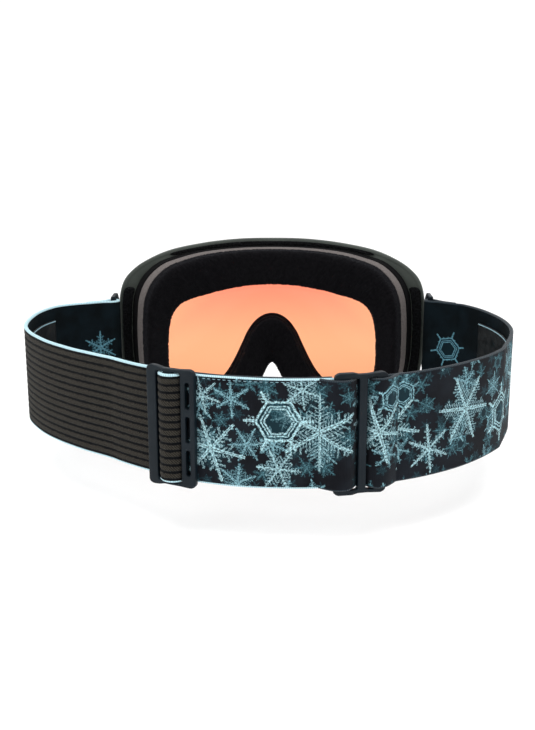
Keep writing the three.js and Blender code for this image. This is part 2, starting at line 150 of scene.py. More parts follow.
# ------------------------------------------------------------------ node helper
class Nodes:
    """Short calls for building a material's or a group's nodes."""

    def __init__(self, tree):
        self.tree = tree

    def add(self, kind, inputs=None, **properties):
        node = self.tree.nodes.new(kind)
        for key, value in properties.items():
            setattr(node, key, value)
        for key, value in (inputs or {}).items():
            self.put(node.inputs[key], value)
        return node

    def put(self, socket, value):
        if isinstance(value, bpy.types.NodeSocket):
            self.tree.links.new(value, socket)
        elif value is not None:
            socket.default_value = value

    def math(self, operation, *values):
        node = self.add("ShaderNodeMath", operation=operation)
        for socket, value in zip(node.inputs, values):
            self.put(socket, value)
        return node.outputs[0]

    def times(self, a, b):
        return self.math("MULTIPLY", a, b)

    def plus(self, a, b):
        return self.math("ADD", a, b)

    def minus(self, a, b):
        return self.math("SUBTRACT", a, b)

    def larger(self, a, b):
        return self.math("MAXIMUM", a, b)

    def size(self, a):
        return self.math("ABSOLUTE", a)

    def scale(self, vector, factor):
        node = self.add("ShaderNodeVectorMath", operation="SCALE")
        self.put(node.inputs[0], vector)
        self.put(node.inputs["Scale"], factor)
        return node.outputs[0]

    def vector(self, operation, *values):
        node = self.add("ShaderNodeVectorMath", operation=operation)
        for socket, value in zip(node.inputs, values):
            self.put(socket, value)
        return node.outputs[0]

    def span(self, value, low, high, to_low=0.0, to_high=1.0, smooth=True):
        node = self.add("ShaderNodeMapRange", interpolation_type="SMOOTHSTEP" if smooth else "LINEAR")
        for key, part in zip(("Value", "From Min", "From Max", "To Min", "To Max"),
                             (value, low, high, to_low, to_high)):
            self.put(node.inputs[key], part)
        return node.outputs["Result"]

    def mix(self, factor, a, b):
        node = self.add("ShaderNodeMix", data_type="RGBA")
        self.put(node.inputs[0], factor)
        for socket, value in ((node.inputs[6], a), (node.inputs[7], b)):
            if not isinstance(value, bpy.types.NodeSocket) and len(value) == 3:
                value = (*value, 1)
            self.put(socket, value)
        return node.outputs[2]

    def noise(self, vector, scale, detail=2.0, roughness=0.5, dimensions="3D"):
        node = self.add("ShaderNodeTexNoise", noise_dimensions=dimensions)
        for key, value in (("Vector", vector), ("Scale", scale), ("Detail", detail),
                           ("Roughness", roughness)):
            self.put(node.inputs[key], value)
        return node.outputs[0]

    def bump(self, height, strength, distance):
        node = self.add("ShaderNodeBump")
        for key, value in (("Height", height), ("Strength", strength), ("Distance", distance)):
            self.put(node.inputs[key], value)
        return node.outputs["Normal"]


def linear(r, g, b):
    """An sRGB colour out of 255 as linear values."""
    return tuple((c / 255 / 12.92) if c <= 10 else ((c / 255 + 0.055) / 1.055) ** 2.4 for c in (r, g, b))


CLOTH_ROUGHNESS = 0.8  # from here up, a surface is cloth or foam and has hardly any gloss


def new_material(name, color, roughness, **sockets):
    material = bpy.data.materials.new(name)
    material.use_nodes = True
    nodes = Nodes(material.node_tree)
    shader = material.node_tree.nodes["Principled BSDF"]
    shader.inputs["Base Color"].default_value = (*color, 1)
    shader.inputs["Roughness"].default_value = roughness
    if roughness >= CLOTH_ROUGHNESS:
        shader.inputs["Specular IOR Level"].default_value = 0.12
    for key, value in sockets.items():
        shader.inputs[key.replace("_", " ")].default_value = value
    return material, nodes, shader


def object_mm(nodes):
    """Object coordinates in millimetres."""
    return nodes.scale(nodes.add("ShaderNodeTexCoord").outputs["Object"], 1 / MM)


def strap_uv(nodes):
    """The strap's own coordinates: millimetres along it and across it."""
    uv = nodes.add("ShaderNodeUVMap", uv_map="strap").outputs[0]
    split = nodes.add("ShaderNodeSeparateXYZ", {"Vector": uv})
    return uv, split.outputs[0], split.outputs[1]


# ------------------------------------------------------------------ materials
def moulded_plastic(name, color, roughness, grain=0.35, grain_size=0.45, specks=0.1, shine=0.5):
    """Satin moulded plastic: fine spark-eroded grain, slight colour drift and dull scuffs."""
    material, nodes, shader = new_material(name, color, roughness)
    place = object_mm(nodes)
    drift = nodes.noise(place, 0.035, 3)
    grain_height = nodes.noise(place, 1 / grain_size, 3, 0.6)
    darker = tuple(c * 0.86 for c in color)
    lighter = tuple(min(1, c * 1.14 + 0.002) for c in color)
    tone = nodes.mix(nodes.span(drift, 0.35, 0.65), darker, lighter)
    worn = nodes.span(nodes.noise(place, 0.9, 5, 0.7), 0.62, 0.8, 0, specks)
    pale = tuple(min(1, c * 1.7 + 0.01) for c in color)
    nodes.put(shader.inputs["Base Color"], nodes.mix(worn, tone, pale))
    rough = nodes.span(nodes.noise(place, 0.12, 4), 0.3, 0.7, roughness - 0.07, roughness + 0.08)
    nodes.put(shader.inputs["Roughness"], rough)
    nodes.put(shader.inputs["Normal"], nodes.bump(grain_height, grain, 0.00006))
    shader.inputs["Specular IOR Level"].default_value = shine
    return material


def open_cell_foam(name, color, pit_size, depth, contrast=0.5):
    """Foam with open cells: pits of two sizes, with painted shade darkening their bottoms."""
    material, nodes, shader = new_material(name, color, 0.95)
    place = object_mm(nodes)
    pits = nodes.add("ShaderNodeTexVoronoi", {"Vector": place, "Scale": 1 / pit_size})
    small = nodes.add("ShaderNodeTexVoronoi", {"Vector": place, "Scale": 2.3 / pit_size})
    wobble = nodes.noise(place, 0.7 / pit_size, 3)
    height = nodes.plus(pits.outputs["Distance"],
                        nodes.times(small.outputs["Distance"], 0.45))
    height = nodes.minus(nodes.times(wobble, 0.6), height)
    # painted shade: the colour darkens towards the bottoms of the pits, where the bump height is lowest
    shade = nodes.span(pits.outputs["Distance"], 0.1, 0.75)
    dark = tuple(c * (1 - contrast) for c in color)
    light = tuple(min(1, c * (1 + contrast)) for c in color)
    nodes.put(shader.inputs["Base Color"], nodes.mix(shade, light, dark))
    nodes.put(shader.inputs["Normal"], nodes.bump(height, 0.8, depth))
    return material


def brushed_fleece():
    """Short black pile with a faint cool sheen."""
    color = linear(9, 8, 10)
    material, nodes, shader = new_material(
        "fleece", color, 1.0, Sheen_Weight=0.06, Sheen_Roughness=0.6)
    shader.inputs["Sheen Tint"].default_value = (0.32, 0.33, 0.4, 1)
    shader.inputs["Specular IOR Level"].default_value = 0.1
    place = object_mm(nodes)
    clumps = nodes.noise(place, 0.55, 4, 0.7)
    pile = nodes.noise(place, 4.5, 2, 0.7)
    nodes.put(shader.inputs["Base Color"],
              nodes.mix(nodes.span(clumps, 0.35, 0.65), linear(4, 3, 5), linear(12, 11, 13)))
    height = nodes.plus(nodes.times(clumps, 1.4), nodes.times(pile, 0.5))
    nodes.put(shader.inputs["Normal"], nodes.bump(height, 0.7, 0.0005))
    return material


def tinted_lens(name, top, side, roughness, ior):
    """Tinted polycarbonate whose colour runs from the brow to the sides. The tint is the lens's own; the
    shift from the brow colour to the side colour is painted reflection.
    """
    material, nodes, shader = new_material(name, top, roughness, Transmission_Weight=1.0)
    shader.inputs["IOR"].default_value = ior
    place = nodes.add("ShaderNodeSeparateXYZ", {"Vector": object_mm(nodes)})
    centre = float(ORIGIN[0] / MM)
    across = nodes.size(nodes.minus(place.outputs[0], centre))
    # painted reflection: away from the middle and towards the bottom the colour turns from the top tint to
    # the side tint
    wide = nodes.span(across, 5, 80)
    low = nodes.span(place.outputs[2], float(ORIGIN[2] / MM) + 40, float(ORIGIN[2] / MM) - 20)
    share = nodes.larger(wide, low)
    nodes.put(shader.inputs["Base Color"], nodes.mix(share, top, side))
    return material


def brushed_metal():
    material, nodes, shader = new_material("pin_steel", linear(150, 152, 155), 0.32, Metallic=1.0)
    place = object_mm(nodes)
    rings = nodes.noise(nodes.vector("MULTIPLY", place, (0.3, 0.3, 9)), 1, 2)
    nodes.put(shader.inputs["Roughness"], nodes.span(rings, 0.3, 0.7, 0.22, 0.45))
    nodes.put(shader.inputs["Normal"], nodes.bump(rings, 0.2, 0.00003))
    return material


# Ice crystals of six-fold symmetry: one group draws a crystal, another scatters them.
def group_tree(name, inputs, outputs):
    tree = bpy.data.node_groups.new(name, "ShaderNodeTree")
    for label, kind in inputs:
        tree.interface.new_socket(label, in_out="INPUT", socket_type=kind)
    for label in outputs:
        tree.interface.new_socket(label, in_out="OUTPUT", socket_type="NodeSocketFloat")
    nodes = Nodes(tree)
    return tree, nodes, nodes.add("NodeGroupInput").outputs


def one_crystal():
    """Lines and body of a crystal of unit radius around Local's origin."""
    tree, nodes, given = group_tree("one_crystal", (
        ("Local", "NodeSocketVector"), ("Turn", "NodeSocketFloat"), ("Pitch", "NodeSocketFloat"),
        ("Lot", "NodeSocketFloat"), ("Plate", "NodeSocketFloat")), ("Lines", "Body"))
    split = nodes.add("ShaderNodeSeparateXYZ", {"Vector": given["Local"]})
    length = nodes.add("ShaderNodeVectorMath", operation="LENGTH")
    nodes.put(length.inputs[0], given["Local"])
    radius = length.outputs["Value"]
    angle = nodes.plus(nodes.math("ARCTAN2", split.outputs[1], split.outputs[0]), given["Turn"])
    folded = nodes.math("PINGPONG", angle, math.pi / 6)
    x = nodes.times(radius, nodes.math("COSINE", folded))
    y = nodes.times(radius, nodes.math("SINE", folded))
    inside = nodes.span(x, 1.0, 0.97)

    # Dendrites: an arm with a split midrib, branches at sixty degrees, and lobes along them.
    arm = nodes.span(nodes.plus(y, nodes.times(x, 0.018)), 0.06, 0.045)
    midrib = nodes.span(y, 0.006, 0.014)
    arm = nodes.times(arm, nodes.plus(0.35, nodes.times(midrib, 0.65)))
    root = nodes.minus(x, nodes.times(y, 0.577))
    step = nodes.math("DIVIDE", root, given["Pitch"])
    lot = nodes.add("ShaderNodeTexWhiteNoise", noise_dimensions="2D")
    pair = nodes.add("ShaderNodeCombineXYZ", {"X": nodes.math("FLOOR", step), "Y": given["Lot"]})
    nodes.put(lot.inputs["Vector"], pair.outputs[0])
    taper = nodes.minus(1.0, nodes.math("POWER", nodes.size(root), 1.6))
    grow = nodes.plus(0.1, nodes.times(lot.outputs["Value"], 0.36))
    reach = nodes.times(grow, taper)
    grown = nodes.span(y, reach, nodes.minus(reach, 0.02))
    off = nodes.size(nodes.minus(nodes.math("FRACT", step), 0.5))
    lobe = nodes.math("SINE", nodes.times(y, 62))
    width = nodes.plus(0.21, nodes.times(lobe, 0.1))
    outer = nodes.span(off, nodes.plus(width, 0.05), nodes.minus(width, 0.03))
    hollow = nodes.span(off, nodes.minus(width, 0.12), nodes.minus(width, 0.04))
    branch = nodes.times(nodes.times(outer, grown),
                        nodes.plus(0.3, nodes.times(hollow, 0.7)))
    fern = nodes.larger(arm, branch)

    # Plates: a hexagon with two inner outlines, spokes outside it and toothed corners.
    hexagon = nodes.plus(nodes.times(x, 0.866), nodes.times(y, 0.5))
    rim = None
    for at, half in ((0.56, 0.022), (0.44, 0.012), (0.36, 0.016)):
        line = nodes.span(nodes.size(nodes.minus(hexagon, at)), half * 2, half)
        rim = line if rim is None else nodes.larger(rim, line)
    spine = nodes.times(nodes.span(y, 0.05, 0.02), nodes.math("GREATER_THAN", hexagon, 0.52))
    teeth = nodes.times(fern, nodes.math("GREATER_THAN", hexagon, 0.6))
    plate = nodes.larger(nodes.larger(rim, spine), teeth)
    within = nodes.span(hexagon, 0.58, 0.55)

    rest = nodes.minus(1.0, given["Plate"])
    lines = nodes.plus(nodes.times(plate, given["Plate"]), nodes.times(fern, rest))
    body = nodes.plus(nodes.times(within, given["Plate"]), nodes.times(grown, rest))
    out = nodes.add("NodeGroupOutput")
    nodes.put(out.inputs["Lines"], nodes.times(lines, inside))
    nodes.put(out.inputs["Body"], nodes.times(nodes.times(body, 0.6), inside))
    return tree


ONE_CRYSTAL = one_crystal()


def ice_crystals():
    """Crystals of one size range, one to a cell."""
    tree, nodes, given = group_tree("ice_crystals", (
        ("Place", "NodeSocketVector"), ("Cell", "NodeSocketFloat"), ("Seed", "NodeSocketFloat"),
        ("Reach", "NodeSocketFloat"), ("Plates", "NodeSocketFloat"), ("Share", "NodeSocketFloat")),
        ("Lines", "Body"))
    scaled = nodes.scale(given["Place"], nodes.math("DIVIDE", 1.0, given["Cell"]))
    shift = nodes.add("ShaderNodeCombineXYZ", {"X": given["Seed"],
                                               "Y": nodes.times(given["Seed"], 1.37)})
    place = nodes.vector("ADD", scaled, shift.outputs[0])
    cells = nodes.add("ShaderNodeTexVoronoi", {"Vector": place, "Scale": 1.0, "Randomness": 0.75},
                      voronoi_dimensions="2D")
    draw = nodes.add("ShaderNodeSeparateColor", {"Color": cells.outputs["Color"]}).outputs
    size = nodes.times(given["Reach"], nodes.plus(0.7, nodes.times(draw[1], 0.5)))
    local = nodes.scale(nodes.vector("SUBTRACT", place, cells.outputs["Position"]),
                        nodes.math("DIVIDE", 1.0, size))
    crystal = nodes.add("ShaderNodeGroup", node_tree=ONE_CRYSTAL)
    for key, value in (("Local", local), ("Turn", nodes.times(draw[0], math.pi / 3)),
                       ("Pitch", nodes.plus(0.09, nodes.times(draw[2], 0.07))),
                       ("Lot", draw[0]), ("Plate", nodes.math("LESS_THAN", draw[2], given["Plates"]))):
        nodes.put(crystal.inputs[key], value)
    shown = nodes.math("LESS_THAN", draw[1], given["Share"])
    out = nodes.add("NodeGroupOutput")
    for label in ("Lines", "Body"):
        nodes.put(out.inputs[label], nodes.times(crystal.outputs[label], shown))
    return tree


CRYSTALS = ice_crystals()


def crystal_layer(nodes, place, cell, seed, reach, plates, share):
    group = nodes.add("ShaderNodeGroup", node_tree=CRYSTALS)
    for key, value in (("Place", place), ("Cell", cell), ("Seed", seed), ("Reach", reach),
                       ("Plates", plates), ("Share", share)):
        nodes.put(group.inputs[key], value)
    return group.outputs["Lines"], group.outputs["Body"]


def placed_crystal(nodes, place, centre, radius, turn, plate, pitch, lot):
    """A crystal at a chosen point of the strap, in millimetres along and across it."""
    local = nodes.scale(nodes.vector("SUBTRACT", place, (*centre, 0)), 1 / radius)
    group = nodes.add("ShaderNodeGroup", node_tree=ONE_CRYSTAL)
    for key, value in (("Local", local), ("Turn", turn), ("Pitch", pitch), ("Lot", lot),
                       ("Plate", plate)):
        nodes.put(group.inputs[key], value)
    return group.outputs["Lines"], group.outputs["Body"]


def webbing_height(nodes, along, across, pitch):
    """The small knit of elastic webbing: short loops in rows."""
    column = nodes.math("SINE", nodes.times(across, 2 * math.pi / pitch))
    offset = nodes.times(nodes.math("SIGN", column), 0.5)
    phase = nodes.plus(nodes.math("DIVIDE", along, pitch * 0.8), offset)
    loops = nodes.math("SINE", nodes.times(phase, 2 * math.pi))
    return nodes.times(nodes.size(column),
                      nodes.plus(0.6, nodes.times(loops, 0.4)))


# cell, seed, reach, share of plates, share of cells filled, colour, strength
SMALL_CRYSTALS = (
    (7.5, 3.1, 0.5, 0.0, 0.55, linear(60, 98, 108), 0.5),
    (12.0, 7.7, 0.52, 0.1, 0.62, linear(98, 150, 162), 0.75),
    (19.0, 1.9, 0.5, 0.14, 0.6, linear(150, 200, 212), 0.95))
# (along, across), radius, turn, plate or not, pitch of the branches, lot
LARGE_CRYSTALS = (
    ((97, 1), 16, 0.25, 0, 0.1, 0.7), ((140, 3), 17, 0.1, 0, 0.085, 0.15),
    ((172, -6), 15, 0.5, 1, 0.1, 0.4), ((118, -12), 12, 0.4, 0, 0.12, 0.9),
    ((205, 4), 17, 0.3, 0, 0.1, 0.6), ((66, 1), 18, 0.52, 0, 0.085, 0.55),
    ((18, -8), 16, 0.2, 0, 0.13, 0.8), ((48, 6), 15.5, 0.0, 1, 0.1, 0.5),
    ((48, -16), 10, 0.1, 0, 0.15, 0.25), ((58, 20), 9, 0.4, 0, 0.15, 0.35),
    ((14, 16), 9, 0.3, 0, 0.16, 0.1))
INNER_CRYSTALS = (
    ((34, -2), 10, 0.52, 0, 0.16, 0.8), ((77, 3), 9, 0.4, 0, 0.15, 0.3),
    ((288, -2), 11, 0.2, 1, 0.14, 0.5), ((110, -3), 10, 0.3, 0, 0.13, 0.6))
KNIT_BUMP = 0.00015


def printed_face():
    """Outer face of the printed strap: crowded ice crystals on a slate ground."""
    material, nodes, shader = new_material(
        "printed_webbing", linear(33, 38, 46), 0.85, Sheen_Weight=0.04, Sheen_Roughness=0.5)
    uv, along, across = strap_uv(nodes)
    blur = nodes.add("ShaderNodeTexNoise", {"Vector": uv, "Scale": 0.7, "Detail": 3.0})
    sway = nodes.vector("MULTIPLY", nodes.vector("SUBTRACT", blur.outputs["Color"], (0.5, 0.5, 0.5)),
                        (1.3, 1.3, 0))
    place = nodes.vector("ADD", uv, sway)
    ground = nodes.mix(nodes.span(nodes.noise(uv, 0.05, 3), 0.35, 0.65),
                       linear(12, 14, 20), linear(22, 27, 34))
    flecks = nodes.span(nodes.noise(uv, 1.1, 4, 0.75), 0.38, 0.62, 0.12, 1.15)
    color = ground
    drawn = [(*crystal_layer(nodes, place, cell, seed, reach, plates, share), tone, strength)
             for cell, seed, reach, plates, share, tone, strength in SMALL_CRYSTALS]
    drawn += [(*placed_crystal(nodes, place, *rest), linear(190, 232, 240), 1.0) for rest in LARGE_CRYSTALS]
    for lines, body, tone, strength in drawn:
        teal = nodes.mix(nodes.times(body, 0.85 * strength), color, linear(22, 58, 68))
        share = nodes.times(lines, nodes.times(flecks, strength))
        color = nodes.mix(nodes.math("MINIMUM", share, 1.0), teal, tone)
    nodes.put(shader.inputs["Base Color"], color)
    nodes.put(shader.inputs["Normal"], nodes.bump(webbing_height(nodes, along, across, 0.9), 0.5, KNIT_BUMP))
    return material


def inner_face():
    """Inner face of both straps: near-black teal with a few single crystals."""
    material, nodes, shader = new_material("inner_webbing", linear(6, 14, 19), 0.9)
    uv, along, across = strap_uv(nodes)
    base = nodes.mix(nodes.span(nodes.noise(uv, 0.08, 3), 0.35, 0.65), linear(3, 10, 14), linear(8, 20, 26))
    flecks = nodes.span(nodes.noise(uv, 1.3, 4, 0.7), 0.36, 0.62, 0.3, 1.0)
    for crystal in INNER_CRYSTALS:
        lines, body = placed_crystal(nodes, uv, *crystal)
        base = nodes.mix(nodes.times(body, 0.7), base, linear(18, 46, 56))
        base = nodes.mix(nodes.times(lines, flecks), base, linear(108, 164, 182))
    nodes.put(shader.inputs["Base Color"], base)
    nodes.put(shader.inputs["Normal"], nodes.bump(webbing_height(nodes, along, across, 0.8), 0.5, KNIT_BUMP))
    return material


RIB_PITCH = 3.35
RIB_CROWN = 0.12


def ribbed_face():
    """Outer face of the ribbed strap: grey-brown twill with thin wavy black grooves along it."""
    material, nodes, shader = new_material(
        "ribbed_webbing", linear(66, 63, 58), 0.9, Sheen_Weight=0.04, Sheen_Roughness=0.5)
    uv, along, across = strap_uv(nodes)
    wave = nodes.times(nodes.minus(nodes.noise(uv, 0.5, 4, 0.7), 0.5), 1.5)
    phase = nodes.math("FRACT", nodes.math("DIVIDE", nodes.plus(across, wave), RIB_PITCH))
    off = nodes.size(nodes.minus(phase, 0.5))
    groove = nodes.span(off, 0.27, 0.36)
    twill = nodes.math("SINE", nodes.times(nodes.plus(along, nodes.times(across, 0.9)), 2 * math.pi / 1.05))
    threads = nodes.span(twill, -0.6, 0.7)
    base = nodes.mix(threads, linear(21, 21, 20), linear(58, 54, 47))
    fleck = nodes.span(nodes.noise(uv, 1.4, 3), 0.4, 0.7)
    base = nodes.mix(nodes.times(fleck, 0.35), base, linear(74, 71, 65))
    nodes.put(shader.inputs["Base Color"], nodes.mix(groove, base, linear(6, 8, 11)))
    height = nodes.minus(nodes.times(threads, 0.35), groove)
    nodes.put(shader.inputs["Normal"], nodes.bump(height, 0.8, 0.0003))
    return material


def selvage(name, color):
    """The rolled thread edge of the webbing."""
    material, nodes, shader = new_material(name, color, 0.8, Sheen_Weight=0.2)
    uv, along, _ = strap_uv(nodes)
    twist = nodes.math("SINE", nodes.times(along, 2 * math.pi / 0.9))
    dark = tuple(c * 0.72 for c in color)
    nodes.put(shader.inputs["Base Color"], nodes.mix(nodes.span(twist, -0.9, 0.2), dark, color))
    nodes.put(shader.inputs["Normal"], nodes.bump(twist, 0.5, 0.0002))
    return material


def silicone_grip():
    material, nodes, shader = new_material("grip_silicone", linear(4, 9, 12), 0.55)
    place = object_mm(nodes)
    nodes.put(shader.inputs["Roughness"], nodes.span(nodes.noise(place, 0.2, 3), 0.3, 0.7, 0.45, 0.7))
    nodes.put(shader.inputs["Normal"], nodes.bump(nodes.noise(place, 1.6, 3), 0.3, 0.0001))
    return material


def thread(name, color):
    material, nodes, shader = new_material(name, color, 0.7, Sheen_Weight=0.2)
    place = object_mm(nodes)
    fibre = nodes.noise(place, 5, 2)
    dark = tuple(c * 0.6 for c in color)
    nodes.put(shader.inputs["Base Color"], nodes.mix(fibre, dark, color))
    nodes.put(shader.inputs["Normal"], nodes.bump(fibre, 0.4, 0.0001))
    return material


OLIVE = moulded_plastic("frame_plastic", linear(74, 80, 75), 0.55)
SLATE = moulded_plastic("slate_plastic", linear(8, 21, 29), 0.45, 0.25, 0.35, 0.06, 0.2)
VENT_FOAM = open_cell_foam("open_cell_foam", linear(17, 18, 20), 1.1, 0.0009)
BLACK_FOAM = open_cell_foam("black_foam", linear(10, 10, 12), 0.6, 0.0003)
GREY_FOAM = open_cell_foam("grey_foam", linear(112, 106, 104), 0.5, 0.00025, 0.25)
FLEECE = brushed_fleece()
OUTER_TINT = tinted_lens("outer_lens_tint", linear(255, 141, 124), linear(255, 181, 145), 0.02, 1.18)
INNER_TINT = tinted_lens("inner_lens_clear", linear(255, 236, 222), linear(255, 242, 226), 0.03, 1.12)
STEEL = brushed_metal()
PRINTED = printed_face()
INNER_WEB = inner_face()
RIBBED = ribbed_face()
BLUE_EDGE = selvage("blue_selvage", linear(196, 232, 242))
DARK_EDGE = selvage("dark_selvage", linear(36, 48, 56))
GRIP = silicone_grip()
# pale thread for the tag and the stitches; the grip strips' pale line uses it as a painted highlight
PALE_THREAD_AND_HIGHLIGHT = thread("pale_thread_and_highlight", linear(150, 190, 204))


# ------------------------------------------------------------------ mesh helpers
def make_mesh(name, points, faces, materials, uv=None, indices=None, smooth=True):
    """A piece from points in the goggles' own millimetres."""
    mesh = bpy.data.meshes.new(name)
    mesh.from_pydata(row(points).tolist(), [], [tuple(map(int, f)) for f in faces])
    for material in materials if isinstance(materials, (list, tuple)) else [materials]:
        mesh.materials.append(material)
    if indices is not None:
        mesh.polygons.foreach_set("material_index", np.asarray(indices, np.int32))
    if uv is not None:
        layer = mesh.uv_layers.new(name="strap")
        loops = np.zeros(len(mesh.loops), np.int32)
        mesh.loops.foreach_get("vertex_index", loops)
        layer.data.foreach_set("uv", np.asarray(uv, np.float32)[loops].ravel())
    mesh.polygons.foreach_set("use_smooth", [smooth] * len(mesh.polygons))
    mesh.update()
    piece = bpy.data.objects.new(name, mesh)
    bpy.context.scene.collection.objects.link(piece)
    return piece


def grid(rows, columns, close_rows=False, close_columns=False, start=0):
    """Quads of a grid of points numbered row by row."""
    r = np.arange(rows if close_rows else rows - 1)
    c = np.arange(columns if close_columns else columns - 1)
    r, c = np.meshgrid(r, c, indexing="ij")
    r2, c2 = (r + 1) % rows, (c + 1) % columns
    quads = np.stack([r * columns + c, r * columns + c2, r2 * columns + c2, r2 * columns + c], -1)
    return quads.reshape(-1, 4) + start


def tube(rows, width, start=0):
    """Faces of a closed section swept along rows, with a cap at each end."""
    last = start + (rows - 1) * width
    return [tuple(f) for f in grid(rows, width, False, True, start)] + [
        tuple(range(start, start + width)), tuple(range(last, last + width))[::-1]]


def marks_along(path):
    """Each point's distance along the path."""
    return np.r_[0, np.cumsum(np.linalg.norm(np.diff(path, axis=0), axis=1))]


def catmull(points, per, closed=True):
    """A centripetal Catmull-Rom curve, with the same number of steps between all its points."""
    p = np.asarray(points, float)
    count = len(p)
    if not closed:
        p = np.vstack([2 * p[0] - p[1], p, 2 * p[-1] - p[-2]])
    out = []
    for i in range(count if closed else count - 1):
        p0, p1, p2, p3 = (p[(i + k - 1) % count] for k in range(4)) if closed else p[i:i + 4]
        d0, d1, d2 = (max(np.linalg.norm(b - a) ** 0.5, 1e-4) for a, b in ((p0, p1), (p1, p2), (p2, p3)))
        t1 = ((p1 - p0) / d0 - (p2 - p0) / (d0 + d1) + (p2 - p1) / d1) * d1
        t2 = ((p2 - p1) / d1 - (p3 - p1) / (d1 + d2) + (p3 - p2) / d2) * d1
        for k in range(per):
            t = k / per
            out.append(p1 + t1 * t + (-3 * p1 + 3 * p2 - 2 * t1 - t2) * t * t
                       + (2 * p1 - 2 * p2 + t1 + t2) * t ** 3)
    if not closed:
        out.append(p[-2])
    return np.array(out)


def outline(half, per):
    mirrored = [(-x, z) for x, z in half[-2:0:-1]]
    return catmull(list(half) + mirrored, per)


def inward(points):
    """Unit normals that point into a clockwise outline."""
    along = np.roll(points, -1, 0) - np.roll(points, 1, 0)
    along /= np.linalg.norm(along, axis=1, keepdims=True)
    return np.stack([along[:, 1], -along[:, 0]], 1)


def rounded(polygon, steps=4):
    """A closed polygon of (a, b, radius) corners, with each corner turned into an arc."""
    out = []
    count = len(polygon)
    for i, (a, b, radius) in enumerate(polygon):
        here = np.array((a, b), float)
        before = np.array(polygon[i - 1][:2], float) - here
        after = np.array(polygon[(i + 1) % count][:2], float) - here
        if radius <= 0:
            out.append(here)
            continue
        u, v = before / np.linalg.norm(before), after / np.linalg.norm(after)
        half = math.acos(max(-1, min(1, float(u @ v)))) / 2
        cut = min(radius / math.tan(half), 0.49 * np.linalg.norm(before), 0.49 * np.linalg.norm(after))
        real = cut * math.tan(half)
        centre = here + (u + v) / np.linalg.norm(u + v) * real / math.sin(half)
        first, last = here + u * cut - centre, here + v * cut - centre
        sweep = math.atan2(first[0] * last[1] - first[1] * last[0], float(first @ last))
        for k in range(steps + 1):
            turn = sweep * k / steps
            cosine, sine = math.cos(turn), math.sin(turn)
            out.append(centre + np.array((first[0] * cosine - first[1] * sine,
                                          first[0] * sine + first[1] * cosine)))
    return np.array(out)


def box_loop(a_low, a_high, b_low, b_high, radius):
    """Corners of a rectangle, for rounded."""
    corners = ((a_low, b_low), (a_low, b_high), (a_high, b_high), (a_high, b_low))
    return [(a, b, radius) for a, b in corners]


def dense(polygon, step):
    """A closed polygon with points added so that no side is longer than step."""
    out = []
    for a, b in zip(polygon, np.roll(polygon, -1, 0)):
        pieces = max(1, int(np.ceil(np.linalg.norm(b - a) / step)))
        out.extend(a + (b - a) * k / pieces for k in range(pieces))
    return np.array(out)


def wrap(xz, radius):
    """Points at these X and Z on the shell of that radius around the wrap axis."""
    y = WRAP_Y + np.sqrt(np.maximum(radius ** 2 - xz[..., 0] ** 2, 1))
    return np.stack([xz[..., 0], y, xz[..., 1]], -1)


def slope(points):
    """The top of the frame and all that it holds slopes down towards the front."""
    radius = np.hypot(points[..., 0], points[..., 1] - WRAP_Y)
    forward = np.clip((radius - FLANGE_R) / (FRAME_FRONT_R - FLANGE_R), 0, 1)
    high = np.clip((points[..., 2] - SLOPE_LOW_Z) / (SLOPE_HIGH_Z - SLOPE_LOW_Z), 0, 1)
    out = points.copy()
    out[..., 2] -= TOP_SLOPE * forward * high * high * (3 - 2 * high)
    return out


def swept_ring(name, section, across, materials, reshape=None):
    """A ring with this closed section of (across, radius) points, all round an outline.
    across(a) gives the outline's points moved a millimetres inwards."""
    columns = [wrap(across(a), radius) for a, radius in section]
    points = np.stack(columns, 1)
    if reshape is not None:
        points = reshape(points)
    rows, width = points.shape[:2]
    faces = grid(rows, width, True, True)
    return make_mesh(name, points.reshape(-1, 3), faces, materials)


@contextmanager
def edited(mesh):
    """The mesh opened for editing, and written back afterwards."""
    work = bmesh.new()
    work.from_mesh(mesh)
    yield work
    work.to_mesh(mesh)
    work.free()


def fix_normals(piece):
    with edited(piece.data) as work:
        bmesh.ops.recalc_face_normals(work, faces=work.faces)


def shade_smooth(piece, angle=40):
    """Smooth shading that keeps edges sharper than angle."""
    limit = math.radians(angle)
    with edited(piece.data) as work:
        for face in work.faces:
            face.smooth = True
        for edge in work.edges:
            edge.smooth = not (len(edge.link_faces) == 2 and edge.calc_face_angle(0) > limit)


def roughen(piece, amount, seed):
    """Moves each vertex along its normal by a seeded random share of amount, in millimetres."""
    mesh = piece.data
    count = len(mesh.vertices)
    place, normal = np.zeros(count * 3), np.zeros(count * 3)
    mesh.vertices.foreach_get("co", place)
    mesh.vertices.foreach_get("normal", normal)
    push = np.random.default_rng(seed).uniform(-1, 1, count) * amount * MM
    place += normal * np.repeat(push, 3)
    mesh.vertices.foreach_set("co", place)
    mesh.update()


def cut(piece, cutter):
    """Takes cutter out of piece and removes it."""
    modifier = piece.modifiers.new("cut", "BOOLEAN")
    modifier.object = cutter
    modifier.operation = "DIFFERENCE"
    modifier.solver = "EXACT"
    apply_modifiers(piece)
    bpy.data.objects.remove(cutter)


def apply_modifiers(piece):
    graph = bpy.context.evaluated_depsgraph_get()
    mesh = bpy.data.meshes.new_from_object(piece.evaluated_get(graph))
    piece.modifiers.clear()
    piece.data = mesh


def finish_piece(piece, body, node=None):
    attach(piece, body)
    note_piece(node)
    return piece


def note_piece(node=None):
    if node:
        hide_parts(*([node] if isinstance(node, str) else node))


# ------------------------------------------------------------------ frame
PER = 10
frame_edge = outline(FRAME_HALF, PER)
frame_in = inward(frame_edge)
eye_edge = outline(EYE_HALF, PER)
RIM = WALL + 1.0


def across_frame(a):
    """Frame outline moved in by a; past the rim it runs to the eye opening, which it meets at ACROSS."""
    if a <= RIM:
        return frame_edge + frame_in * a
    share = (a - RIM) / (ACROSS - RIM)
    return (frame_edge + frame_in * RIM) * (1 - share) + (eye_edge - inward(eye_edge) * 1.0) * share


